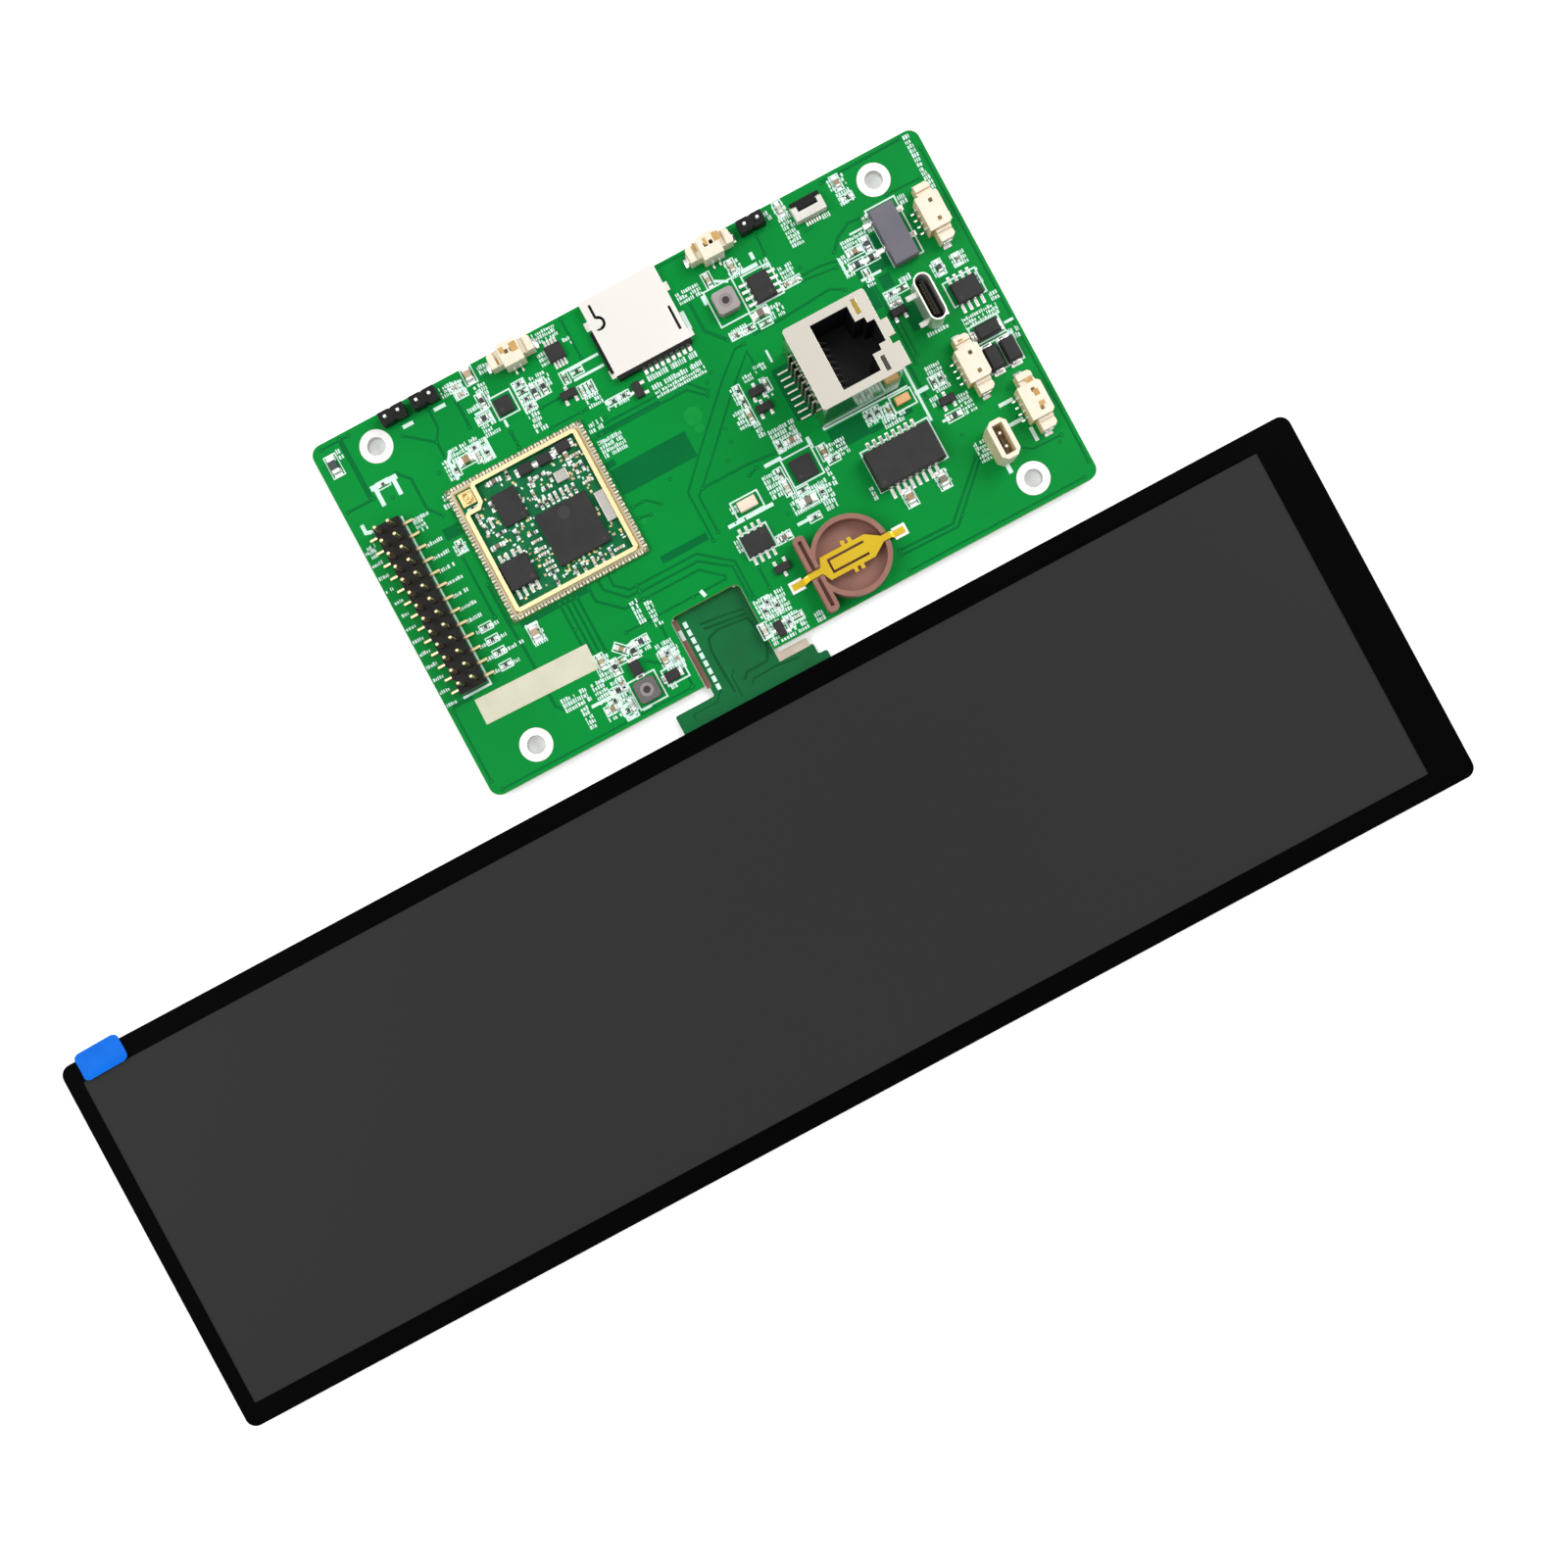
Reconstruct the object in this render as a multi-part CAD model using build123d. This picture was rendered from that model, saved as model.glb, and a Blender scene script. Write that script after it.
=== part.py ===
from build123d import *
import os

os.makedirs("parts", exist_ok=True)

# A bar-shaped colour display lying face up, joined by a flat printed tail to its green control board.
# +X runs along the panel, +Y from the panel towards the board, +Z up.
# The origin is the centre of the panel's back face. All sizes are in millimetres.

# Display panel, outside
panel_length = 246.7
panel_width = 72.3
panel_corner = 2.0
active_border = 3.9
active_left = 2.8
active_right = 7.8
sheet_metal = 0.3
shell_clearance = 0.05
bezel_lift = 0.4

# Display panel, the stack from the back to the front
reflector_thickness = 0.2
guide_thickness = 1.5
diffuser_thickness = 0.2
prism_thickness = 0.2
polariser_thickness = 0.15
glass_thickness = 0.4
film_clearance = 0.2
frame_wall = 1.5
lamp_wall = 2.8
polariser_margin = 0.5
glass_margin = 1.0
glass_tail_margin = 1.7
ledge_depth = 1.5
lamp_count = 14
lamp_length = 3.0
lamp_depth = 0.8
lamp_height = 1.0
lamp_gap = 0.1
lamp_strip_width = 3.0
driver_length = 22.0
driver_depth = 0.8
driver_height = 0.25
driver_gap = 0.1
tab_length = 8.7
tab_width = 5.2
tab_thickness = 0.1
tab_inset = 3.5
tab_reach = 1.1
tab_tilt = 1.5

# Control board, and the height at which its underside parts hold it above the table
board_length = 121.8
board_width = 70.0
board_thickness = 1.6
board_corner = 2.0
board_gap = 5.9
board_from_panel_end = 90.95
stand_height = 2.0
notch_left = 42.2
notch_width = 13.9
notch_depth = 13.5
notch_corner = 1.4
hole_inset_x = 11.0
hole_inset_y = 5.0
hole_span_x = 100.0
hole_span_y = 60.0
hole_diameter = 3.2
ring_diameter = 6.0
ring_thickness = 0.05
ring_sides = 12
sticker_length = 22.2
sticker_width = 4.9
sticker_thickness = 0.1

# Flat tail between the panel and the socket under the board
tail_contacts = 23
ribbon_pitch = 0.5
tail_thickness = 0.2
tail_gap_left = 0.7
tail_bar_side = 7.95
tail_bar_depth = 3.7
tail_step_side = 1.7
tail_step_depth = 1.6
tail_slot_clearance = 0.4
tail_corner = 0.4
stiffener_thickness = 0.1
stiffener_length = 4.5
socket_setback = 1.6

# Ribbon sockets with a flip latch
socket_height = 2.0
socket_depth = 3.2
socket_side_gap = 0.2
socket_cheek = 1.0
socket_floor = 0.5
socket_mouth = 0.45
socket_foot_length = 0.8
socket_foot_width = 0.22
socket_foot_thickness = 0.15
latch_thickness = 0.8
latch_reach = 1.5
latch_gap = 0.1
latch_pivot_y = 1.2
latch_pivot_z = 1.4
latch_wing_start = 0.9
latch_nose = 0.3
cheek_setback = 0.7
pivot_radius = 0.22
pivot_clearance = 0.06
pivot_length = 0.5
touch_contacts = 6

# Pins, leads and their holes
pin_size = 0.64
pin_pitch = 2.54
pin_clearance = 0.02
pin_hole_diameter = 1.0
pin_hole_sides = 8
lead_thickness = 0.2
lead_pitch = 1.27
lead_root = 0.5
body_lift = 0.1
mould_chamfer = 0.15

# Core board with its fence and chips
core_left = 17.8
core_front = 25.7
core_length = 27.2
core_width = 26.3
core_thickness = 0.9
core_pad_count = 21
core_pad_pitch = 1.2
core_pad_width = 0.65
core_pad_depth = 0.6
core_pad_thickness = 0.05
fence_inset_x = 1.4
fence_inset_y = 1.0
fence_height = 1.3
fence_flange = 0.8
fence_metal = 0.2
fence_corner = 0.6
fence_jog_x = 3.2
fence_jog_y = 4.3
processor_size = 10.0
processor_height = 1.2
coax_base = 0.35
coax_radius = 1.0
coax_bore = 0.75
coax_height = 1.2

# Pin headers
header_rows = 13
header_body_height = 2.5
header_lift = 0.66
header_pin_top = 8.6
header_foot_reach = 4.3
header_notch = 0.5
jumper_length = 4.9
jumper_depth = 2.5
jumper_height = 2.5
jumper_pin_top = 3.3

# Upright network jack
jack_length = 15.6
jack_width = 15.4
jack_height = 14.8
jack_corner = 0.6
jack_metal = 0.3
jack_mouth_start = 4.6
jack_mouth_length = 7.15
jack_mouth_width = 12.2
jack_mouth_depth = 11.0
jack_latch_step = 1.75
jack_latch_width = 6.2
jack_key_step = 1.35
jack_key_width = 4.1
jack_contact_count = 8
jack_contact_width = 0.4
jack_contact_metal = 0.3
jack_contact_reach = 2.5
jack_contact_height = 9.0
jack_lamp_length = 0.9
jack_lamp_width = 2.7
jack_lamp_offset = 5.4
jack_lamp_height = 0.8
jack_tab_reach = 1.25
jack_peg_width = 1.2

# Upright USB socket
usb_length = 8.94
usb_width = 3.26
usb_wall = 0.3
usb_base_height = 2.4
usb_top = 6.5
usb_tongue_length = 6.7
usb_tongue_width = 0.7
usb_foot_reach = 1.2
usb_foot_pitch = 5.2
usb_foot_width = 1.0
usb_foot_height = 0.4
usb_tongue_drop = 0.8

# Memory card socket
card_length = 15.0
card_width = 14.8
card_height = 1.9
card_metal = 0.2
card_floor = 0.3
card_left_wall = 1.6
card_right_wall = 1.3
card_rear_wall = 1.1
card_hook_radius = 1.3
card_slit = 0.5
card_lip = 0.5
card_contact_width = 0.5
card_contact_length = 0.8
card_tab_length = 1.7
card_tab_reach = 0.8
card_contact_count = 9
card_contact_pitch = 1.1
card_contact_shift = 2.0

# Side-entry wafer sockets and the upright two-pin one
wafer_pitch = 1.25
wafer_end = 2.6
wafer_depth = 4.4
wafer_height = 4.2
wafer_wall = 0.7
wafer_rear_wall = 1.0
wafer_ear = 2.3
wafer_ear_drop = 1.0
wafer_ear_setback = 1.0
wafer_front_step = 0.5
wafer_groove = 0.4
wafer_window = 0.7
wafer_pin = 0.4
wafer_tab = 0.25
upright_length = 3.7
upright_width = 7.3
upright_height = 7.0
upright_wall = 0.9
upright_floor = 1.4
upright_corner = 0.9

# Coin cell holder and its spring contact
coin_bore = 12.7
coin_wall = 0.9
coin_height = 4.0
coin_floor = 0.8
coin_bar_width = 2.2
coin_bar_corner = 0.8
coin_groove_width = 0.7
coin_groove_depth = 1.2
spring_thickness = 0.25
spring_length = 10.3
spring_width = 4.5
spring_end_width = 1.2
spring_level = 3.0
spring_frame = 0.9
spring_slit = 0.4
tongue_root = 3.0
prong_width = 0.7
prong_length = 1.7
spring_foot_left = 11.7
spring_foot_right = 10.8

# Sizes worked out from those above
half_length = panel_length / 2
half_width = panel_width / 2
tray_length = panel_length - 2 * (sheet_metal + shell_clearance)
tray_width = panel_width - 2 * (sheet_metal + shell_clearance)
frame_length = tray_length - 2 * (sheet_metal + shell_clearance)
frame_width = tray_width - 2 * (sheet_metal + shell_clearance)
guide_level = sheet_metal + reflector_thickness
diffuser_level = guide_level + guide_thickness
prism_level = diffuser_level + diffuser_thickness
rear_polariser_level = prism_level + prism_thickness
rear_glass_level = rear_polariser_level + polariser_thickness
front_glass_level = rear_glass_level + glass_thickness
front_polariser_level = front_glass_level + glass_thickness
bezel_level = front_polariser_level + polariser_thickness
panel_thickness = bezel_level + sheet_metal
tray_height = rear_polariser_level
active_start = -half_length + active_left
active_end = half_length - active_right
active_half = half_width - active_border
well_start = -frame_length / 2 + frame_wall
well_end = frame_length / 2 - lamp_wall
well_half = frame_width / 2 - frame_wall
lamp_end = well_end - film_clearance
guide_end = lamp_end - lamp_depth - lamp_gap
ledge_end = half_width - glass_tail_margin
ledge_start = ledge_end - ledge_depth

board_x = -half_length + board_from_panel_end
board_y = half_width + board_gap
board_top = stand_height + board_thickness
tail_width = (tail_contacts + 1) * ribbon_pitch
tail_start = board_x + notch_left + tail_gap_left
tail_end = tail_start + tail_width
tail_bar_start = tail_start - tail_bar_side
tail_bar_end = tail_end + tail_bar_side
tail_level = stand_height - socket_floor - tail_thickness
socket_x = tail_start + tail_width / 2
socket_y = board_y + notch_depth + socket_setback
pin_below = -board_thickness - stand_height

nodes = {}


def keep(name, *shapes):
    for shape in shapes:
        nodes.setdefault(name, []).extend(shape.solids())


def block(x0, x1, y0, y1, z0, z1):
    middle = Pos((x0 + x1) / 2, (y0 + y1) / 2, (z0 + z1) / 2)
    return middle * Box(x1 - x0, y1 - y0, z1 - z0)


# A block that stands at height z, centred on x and y
def stand(length, width, height, x=0.0, y=0.0, z=0.0):
    return block(x - length / 2, x + length / 2, y - width / 2, y + width / 2, z, z + height)


# A plate with rounded corners, its lower face at height z
def plate(length, width, thickness, z, corner):
    return Pos(0, 0, z) * extrude(RectangleRounded(length, width, corner), thickness)


# A flat outline given by its corners, drawn up from height z
def prism(corners, height, z=0.0):
    return Pos(0, 0, z) * extrude(Polygon(*corners, align=None), height, dir=(0, 0, 1))


# A metal strip bent along a path of (x, z) points, its width centred on y = 0
def strip(path, thickness, width):
    normals = []
    for start, end in zip(path, path[1:]):
        run = Vector(end[0] - start[0], end[1] - start[1]).normalized()
        normals.append(Vector(-run.Y, run.X))
    upper, lower = [], []
    for (x, z), before, after in zip(path, normals[:1] + normals, normals + normals[-1:]):
        mitre = (before + after) * (thickness / 2 / (1 + before.dot(after)))
        upper.append((x + mitre.X, z + mitre.Y))
        lower.append((x - mitre.X, z - mitre.Y))
    outline = Plane.XZ * Polygon(*upper, *reversed(lower), align=None)
    return extrude(outline, width / 2, both=True)


# Places at equal steps, centred on zero
def spread(count, pitch):
    return [(index - (count - 1) / 2) * pitch for index in range(count)]


# A distance along an edge, which a negative number counts from the far end
def along(value, length):
    return value if value >= 0 else length + value


# Where a part stands on the board, from the board's lower left corner, turned about Z
def on_board(x, y, turn=0.0, lift=0.0):
    x, y = along(x, board_length), along(y, board_width)
    return Pos(board_x + x, board_y + y, board_top + lift) * Rot(0, 0, turn)


# The same on the core board, from its own lower left corner
def on_core(x, y, turn=0.0):
    return on_board(core_left + x, core_front + y, turn, core_thickness)


# The slot that a shell of the panel leaves for the tail, between two heights
def tail_slot(low, high):
    return block(tail_bar_start - tail_slot_clearance, tail_bar_end + tail_slot_clearance,
                 ledge_end, half_width, low, high)


def make_panel():
    bezel = plate(panel_length, panel_width, panel_thickness - bezel_lift, bezel_lift, panel_corner)
    inner_corner = panel_corner - sheet_metal
    bezel -= plate(panel_length - 2 * sheet_metal, panel_width - 2 * sheet_metal, bezel_level - bezel_lift,
                   bezel_lift, inner_corner)
    bezel -= block(active_start, active_end, -active_half, active_half, bezel_level, panel_thickness)
    keep("front_bezel", bezel - tail_slot(bezel_lift, tail_level + tail_thickness + tail_slot_clearance))

    tray_corner = inner_corner - shell_clearance
    tray = plate(tray_length, tray_width, tray_height, 0, tray_corner)
    tray -= plate(tray_length - 2 * sheet_metal, tray_width - 2 * sheet_metal, tray_height, sheet_metal,
                  tray_corner - sheet_metal)
    keep("rear_tray", tray - tail_slot(tail_level - tail_slot_clearance, tray_height))

    frame_height = rear_glass_level - sheet_metal
    frame_corner = tray_corner - sheet_metal - shell_clearance
    frame = plate(frame_length, frame_width, frame_height, sheet_metal, frame_corner)
    frame -= block(well_start, well_end, -well_half, well_half, 0, rear_glass_level)
    keep("middle_frame", frame - tail_slot(tail_level - tail_slot_clearance, rear_glass_level))

    film_start = well_start + film_clearance
    film_half = well_half - film_clearance
    strip_start = lamp_end - lamp_strip_width
    keep("reflector_sheet", block(film_start, strip_start - lamp_gap, -film_half, film_half,
                                  sheet_metal, guide_level))
    keep("backlight_strip", block(strip_start, lamp_end, -film_half, film_half, sheet_metal, guide_level))
    keep("light_guide", block(film_start, guide_end, -film_half, film_half, guide_level, diffuser_level))
    lamp_pitch = (2 * film_half - lamp_length) / lamp_count
    for y in spread(lamp_count, lamp_pitch):
        lamp = stand(lamp_depth, lamp_length, lamp_height, lamp_end - lamp_depth / 2, y, guide_level)
        keep("backlight_leds", lamp)
    keep("diffuser_sheet", block(film_start, guide_end, -film_half, film_half, diffuser_level, prism_level))
    keep("prism_sheet", block(film_start, guide_end, -film_half, film_half,
                              prism_level, rear_polariser_level))
    film_low, film_high = active_start - polariser_margin, active_end + polariser_margin
    film_side = active_half + polariser_margin
    keep("rear_polariser", block(film_low, film_high, -film_side, film_side, rear_polariser_level,
                                 rear_glass_level))
    glass_start = -half_length + glass_margin
    glass_low = -half_width + glass_margin
    keep("rear_glass", block(glass_start, -glass_start, glass_low, ledge_end,
                             rear_glass_level, front_glass_level))
    keep("front_glass", block(glass_start, -glass_start, glass_low, ledge_start,
                              front_glass_level, front_polariser_level))
    keep("front_polariser", block(film_low, film_high, -film_side, film_side, front_polariser_level,
                                  bezel_level))
    driver_y = ledge_start + driver_gap + driver_depth / 2
    driver_x = (tail_start + tail_end) / 2
    keep("driver_chip", stand(driver_length, driver_depth, driver_height, driver_x, driver_y,
                              front_glass_level))
    tab_x = -half_length + tab_inset + tab_length / 2
    tab_y = half_width + tab_reach - tab_width / 2
    keep("pull_tab", Pos(tab_x, tab_y, panel_thickness) * Rot(0, 0, tab_tilt) * stand(
        tab_length, tab_width, tab_thickness))


def make_tail():
    bar_front = half_width + tail_bar_depth
    step_end = tail_bar_end + tail_step_side
    step_front = half_width + tail_step_depth
    tail_stop = socket_y + socket_depth - socket_cheek
    outline = Polygon((tail_bar_start, half_width), (tail_bar_start, bar_front), (tail_start, bar_front),
                      (tail_start, tail_stop), (tail_end, tail_stop), (tail_end, bar_front),
                      (tail_bar_end, bar_front), (tail_bar_end, step_front), (step_end, step_front),
                      (step_end, half_width), align=None)
    corners = outline.vertices().filter_by(lambda v: v.Y > half_width + 0.1 and v.Y < tail_stop - 0.1)
    tail = Pos(0, 0, tail_level) * extrude(fillet(corners, tail_corner), tail_thickness, dir=(0, 0, 1))
    # Inside the panel the tail rises to the ledge of the rear glass, where it is bonded
    middle = tail_thickness / 2
    riser = (ledge_end + half_width - 2 * sheet_metal - 2 * shell_clearance) / 2
    bond = ledge_start + 2 * driver_gap + driver_depth
    route = [(bond, front_glass_level + middle), (riser, front_glass_level + middle),
             (riser, tail_level + middle), (half_width + 1, tail_level + middle)]
    inside = strip(route, tail_thickness, tail_bar_end - tail_bar_start)
    tail += Pos((tail_bar_start + tail_bar_end) / 2, 0, 0) * Rot(0, 0, 90) * inside
    keep("display_tail", tail)
    keep("tail_stiffener", block(tail_start, tail_end, tail_stop - stiffener_length, tail_stop,
                                 tail_level - stiffener_thickness, tail_level))


# A ribbon socket: mouth towards -Y, standing on z = 0, with the ribbon's centre at x = 0
def ribbon_socket(contacts):
    inner = (contacts + 1) * ribbon_pitch / 2 + socket_side_gap
    outer = inner + socket_cheek
    slot_top = socket_floor + socket_mouth
    beam_front = latch_pivot_y + latch_thickness / 2 + latch_gap
    body = block(-outer, outer, 0, socket_depth, 0, socket_height)
    body -= block(-outer, outer, 0, cheek_setback, socket_floor, socket_height)
    body -= block(-inner, inner, 0, beam_front, socket_floor, socket_height)
    body -= block(-inner, inner, 0, socket_depth - socket_cheek / 2, socket_floor, slot_top)
    bore_reach = inner + pivot_length + pivot_clearance
    bore = Plane.YZ * RegularPolygon(pivot_radius + pivot_clearance, pin_hole_sides, major_radius=False)
    body -= Pos(0, latch_pivot_y, latch_pivot_z) * extrude(bore, bore_reach, both=True)
    bar = inner - latch_gap
    wing = outer - latch_gap
    half = latch_thickness / 2
    profile = Rectangle(latch_wing_start + half, latch_thickness, align=(Align.MAX, Align.CENTER))
    profile = Pos(half, 0) * profile
    profile = chamfer(profile.vertices().group_by(Axis.X)[-1], latch_nose)
    latch = extrude(Plane.YZ * profile, bar, both=True)
    latch += block(-wing, wing, -latch_reach, -latch_wing_start, -half, half)
    pivot = Plane.YZ * RegularPolygon(pivot_radius, pin_hole_sides)
    latch += extrude(pivot, inner + pivot_length, both=True)
    latch = Pos(0, latch_pivot_y, latch_pivot_z) * latch
    feet = [block(x - socket_foot_width / 2, x + socket_foot_width / 2, socket_depth,
                  socket_depth + socket_foot_length, 0, socket_foot_thickness)
            for x in spread(contacts, ribbon_pitch)]
    return body, latch, feet


def make_ribbon_sockets():
    under = Pos(socket_x, socket_y, stand_height) * Rot(0, 180, 0)
    body, latch, feet = ribbon_socket(tail_contacts)
    keep("tail_socket_housing", under * body)
    keep("tail_socket_latch", under * latch)
    keep("ribbon_contacts", *[under * foot for foot in feet])
    facing_out = on_board(98.2, -2.6, 180)
    body, latch, feet = ribbon_socket(touch_contacts)
    keep("touch_socket_housing", facing_out * body)
    keep("touch_socket_latch", facing_out * latch)
    keep("ribbon_contacts", *[facing_out * foot for foot in feet])


# Where the mounting holes and the through pins are, on the board
hole_places = [(hole_inset_x + x, hole_inset_y + y) for x in (0, hole_span_x) for y in (0, hole_span_y)]
jumper_places = [(16.4, -1.9), (22.6, -1.9), (88.0, -1.9)]
upright_place = (-13.5, 12.9)
jack_place = (-31.9, 38.05)
jack_peg_places = [(jack_length / 2 - jack_metal / 2, y) for y in (-5.0, 5.0)]


def make_board():
    outline = RectangleRounded(board_length, board_width, board_corner, align=Align.MIN)
    notch = RectangleRounded(notch_width, 2 * notch_depth, notch_corner)
    outline -= Pos(notch_left + notch_width / 2, 0) * notch
    for x, y in hole_places:
        outline -= Pos(x, y) * Circle(hole_diameter / 2)
    pin_hole = RegularPolygon(pin_hole_diameter / 2, pin_hole_sides)
    for step in spread(2, pin_pitch):
        for x, y in jumper_places:
            outline -= Pos(x + step, along(y, board_width)) * pin_hole
        x, y = upright_place
        outline -= Pos(along(x, board_length), y + step) * pin_hole
    peg_slot = Rectangle(jack_metal + 4 * shell_clearance, jack_peg_width + 4 * shell_clearance)
    for x, y in jack_peg_places:
        outline -= Pos(along(jack_place[0], board_length) + x, jack_place[1] + y) * peg_slot
    keep("circuit_board", Pos(board_x, board_y, stand_height) * extrude(outline, board_thickness))
    inside = RegularPolygon(hole_diameter / 2, ring_sides, major_radius=False)
    ring = extrude(RegularPolygon(ring_diameter / 2, ring_sides) - inside, ring_thickness)
    for x, y in hole_places:
        keep("mounting_rings", on_board(x, y) * ring)
        keep("mounting_rings", on_board(x, y, 0, -board_thickness - ring_thickness) * ring)
    keep("sticker", on_board(16.1, 14.4, -1.5) * stand(sticker_length, sticker_width, sticker_thickness))


# A packaged chip: body along X, gull-wing leads on its two long sides
def packaged(name, length, width, height, near, far, reach, lead_width, place, pitch=lead_pitch):
    body = stand(length, width, height - body_lift, 0, 0, body_lift)
    top_edges = body.edges().group_by(Axis.Z)[-1]
    keep(name, place * chamfer(top_edges, mould_chamfer))
    foot = lead_thickness / 2
    lead = strip([(foot, height * lead_root), (foot, foot), (reach, foot)], lead_thickness, lead_width)
    for side, steps in ((-90, near), (90, far)):
        for step in steps:
            keep("package_leads", place * Pos(step, width / 2 if side > 0 else -width / 2, 0)
                 * Rot(0, 0, side) * lead)


def make_chips():
    eight = spread(4, lead_pitch)
    packaged("small_outline_chips", 5.28, 5.28, 1.7, eight, eight, 1.35, 0.42, on_core(5.1, 7.4))
    packaged("small_outline_chips", 4.9, 3.9, 1.5, eight, eight, 1.3, 0.42, on_board(84.5, -12.5, 90))
    packaged("small_outline_chips", 4.9, 3.9, 1.5, eight, eight, 1.3, 0.42, on_board(-5.6, 40.0))
    packaged("small_outline_chips", 4.9, 3.9, 1.5, eight, eight, 1.3, 0.42, on_board(62.5, 18.1))
    comb = spread(8, lead_pitch)
    packaged("line_transformer", 12.7, 7.1, 4.0, comb, comb, 1.7, 0.5, on_board(92.3, 18.9))
    side = [-3.81, 1.27]
    packaged("oscillator_block", 10.6, 4.7, 2.7, side, side, 1.3, 0.8, on_board(-12.5, -15.5, -90))
    pair, one = spread(2, 1.9), [0.0]
    fine = spread(4, 0.65)
    packaged("transistor_packages", 3.0, 3.0, 1.1, fine, fine, 0.9, 0.3, on_board(46.8, -5.4))
    for x, y, turn in ((45.4, -13.1, 0), (56.6, -18.2, 90), (75.0, 41.7, 0), (64.3, 12.0, 180),
                       (58.8, 2.7, 90), (-17.8, 24.4, 0), (-18.0, 42.3, 0), (74.8, 38.5, 0)):
        packaged("transistor_packages", 2.9, 1.5, 1.1, pair, one, 0.6, 0.45, on_board(x, y, turn))
    for place in (on_board(38.1, 4.4, 90), on_board(33.0, 8.6), on_core(14.6, 23.0, 90),
                  on_core(18.4, 23.0, 90), on_core(22.3, 23.4, 90)):
        packaged("transistor_packages", 1.9, 2.6, 1.1, one, one, 0.6, 0.9, place)
    keep("processor", on_core(17.1, 9.7) * stand(processor_size, processor_size, processor_height))
    for place, length, width in ((on_core(9.1, 18.4), 4.6, 6.1), (on_board(75.9, 25.8), 4.1, 4.1),
                                 (on_board(34.4, -9.4), 3.0, 3.0)):
        keep("quad_chips", place * stand(length, width, 0.9))


# Rectifier diodes: a moulded body with a bent terminal at each end
def make_rectifiers():
    length, width, height = 4.3, 2.6, 2.2
    for x, y, turn in ((-5.8, 31.9, 0), (-7.2, 26.9, 90), (-3.8, 26.9, 90)):
        place = on_board(x, y, turn)
        body = stand(length, width, height - body_lift, 0, 0, body_lift)
        keep("rectifier_diodes", place * chamfer(body.edges().group_by(Axis.Z)[-1], 0.3))
        path = [(0, 1.1), (0.25, 1.1), (0.25, lead_thickness / 2), (0.75, lead_thickness / 2)]
        for side in (0, 180):
            keep("package_leads", place * Rot(0, 0, side) * Pos(length / 2, 0, 0)
                 * strip(path, lead_thickness, 1.5))


# Passive parts, by the place of each on the board or on the core board: x, y and turn
small_chip = (1.0, 0.5, 0.45)
medium_chip = (1.6, 0.8, 0.7)
large_chip = (2.1, 1.3, 1.1)
long_chip = (2.8, 1.4, 1.1)
board_capacitors = {
    small_chip: ((47.9, -13.7, 90), (49.5, -13.7, 90), (28.2, -2.4, 0), (28.6, -4.0, 0), (26.2, -15.1, 90),
                 (76.6, -17.8, 0), (82.2, -18.3, 0), (-19.7, -19.4, 90), (88.7, -14.1, 0), (90.3, -14.1, 0),
                 (29.5, 7.4, 90), (31.1, 11.0, 0), (62.5, 3.2, 0), (40.2, 6.7, 90), (-4.3, 45.6, 90),
                 (-17.7, 43.9, 0), (77.1, 41.9, 90), (29.3, 3.2, 90), (46.2, -10.1, 90), (94.2, 27.6, 90)),
    medium_chip: ((76.7, -6.9, 90), (81.5, -6.8, 90), (93.8, -1.7, 90), (71.9, 38.4, 90), (71.7, 24.1, 90),
                  (80.4, 26.6, 90), (76.4, 31.2, 0), (56.2, 3.6, 90), (-19.8, -14.7, 0), (-16.9, -2.4, 90),
                  (32.3, 12.8, 135), (38.2, 7.6, 90), (26.0, 4.2, 0), (28.1, 12.5, 90), (67.1, 16.6, 0)),
    large_chip: ((82.1, -16.5, 0), (31.3, -1.6, 90), (20.2, 22.6, 90), (73.9, 20.4, 0), (90.1, 12.3, 90),
                 (96.7, 12.3, 90), (24.0, -14.7, 0)),
}
board_resistors = {
    small_chip: ((13.0, 27.6, 0), (13.0, 25.1, 0), (13.0, 22.6, 0), (13.0, 20.0, 0), (38.4, -7.2, 0),
                 (38.4, -8.7, 0), (38.4, -10.2, 0), (38.4, -11.7, 0), (48.6, -10.1, 0), (53.9, -17.8, 0),
                 (51.9, -17.8, 0), (21.5, -15.4, 90), (26.2, -13.5, 0), (27.8, -15.3, 90), (15.8, 42.3, 90),
                 (79.1, -17.9, 0), (72.1, 43.2, 90), (72.1, 41.1, 90), (71.7, 26.8, 90), (74.0, 31.2, 90),
                 (76.8, 20.5, 90), (73.6, 17.2, 0), (81.4, 24.7, 0), (39.2, 8.3, 90), (27.0, 5.2, 0),
                 (28.3, 2.6, 0), (60.8, 3.0, 90), (59.0, 7.9, 90), (58.0, 6.6, 90), (60.3, 6.6, 90),
                 (-15.5, 45.7, 0), (-17.7, 45.7, 0), (-16.4, -5.5, 0), (90.5, 28.4, 90),
                 (92.1, 28.4, 90), (74.0, 22.4, 0), (8.9, -11.5, 0), (-18.4, 28.3, 90), (-16.9, 28.3, 90)),
    long_chip: ((2.8, -4.6, 90),),
    medium_chip: ((-17.3, -14.5, 90), (-17.7, -17.0, 0), (-20.5, -16.9, 0), (40.3, -9.7, 90),
                  (42.1, -9.7, 90), (31.3, -6.8, 90), (30.2, -9.7, 0), (29.8, 10.5, 90), (28.4, 6.6, 0),
                  (-17.9, 21.4, 0), (36.0, 12.4, 0), (34.1, 11.5, 90), (-7.9, 45.8, 90)),
}
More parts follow.
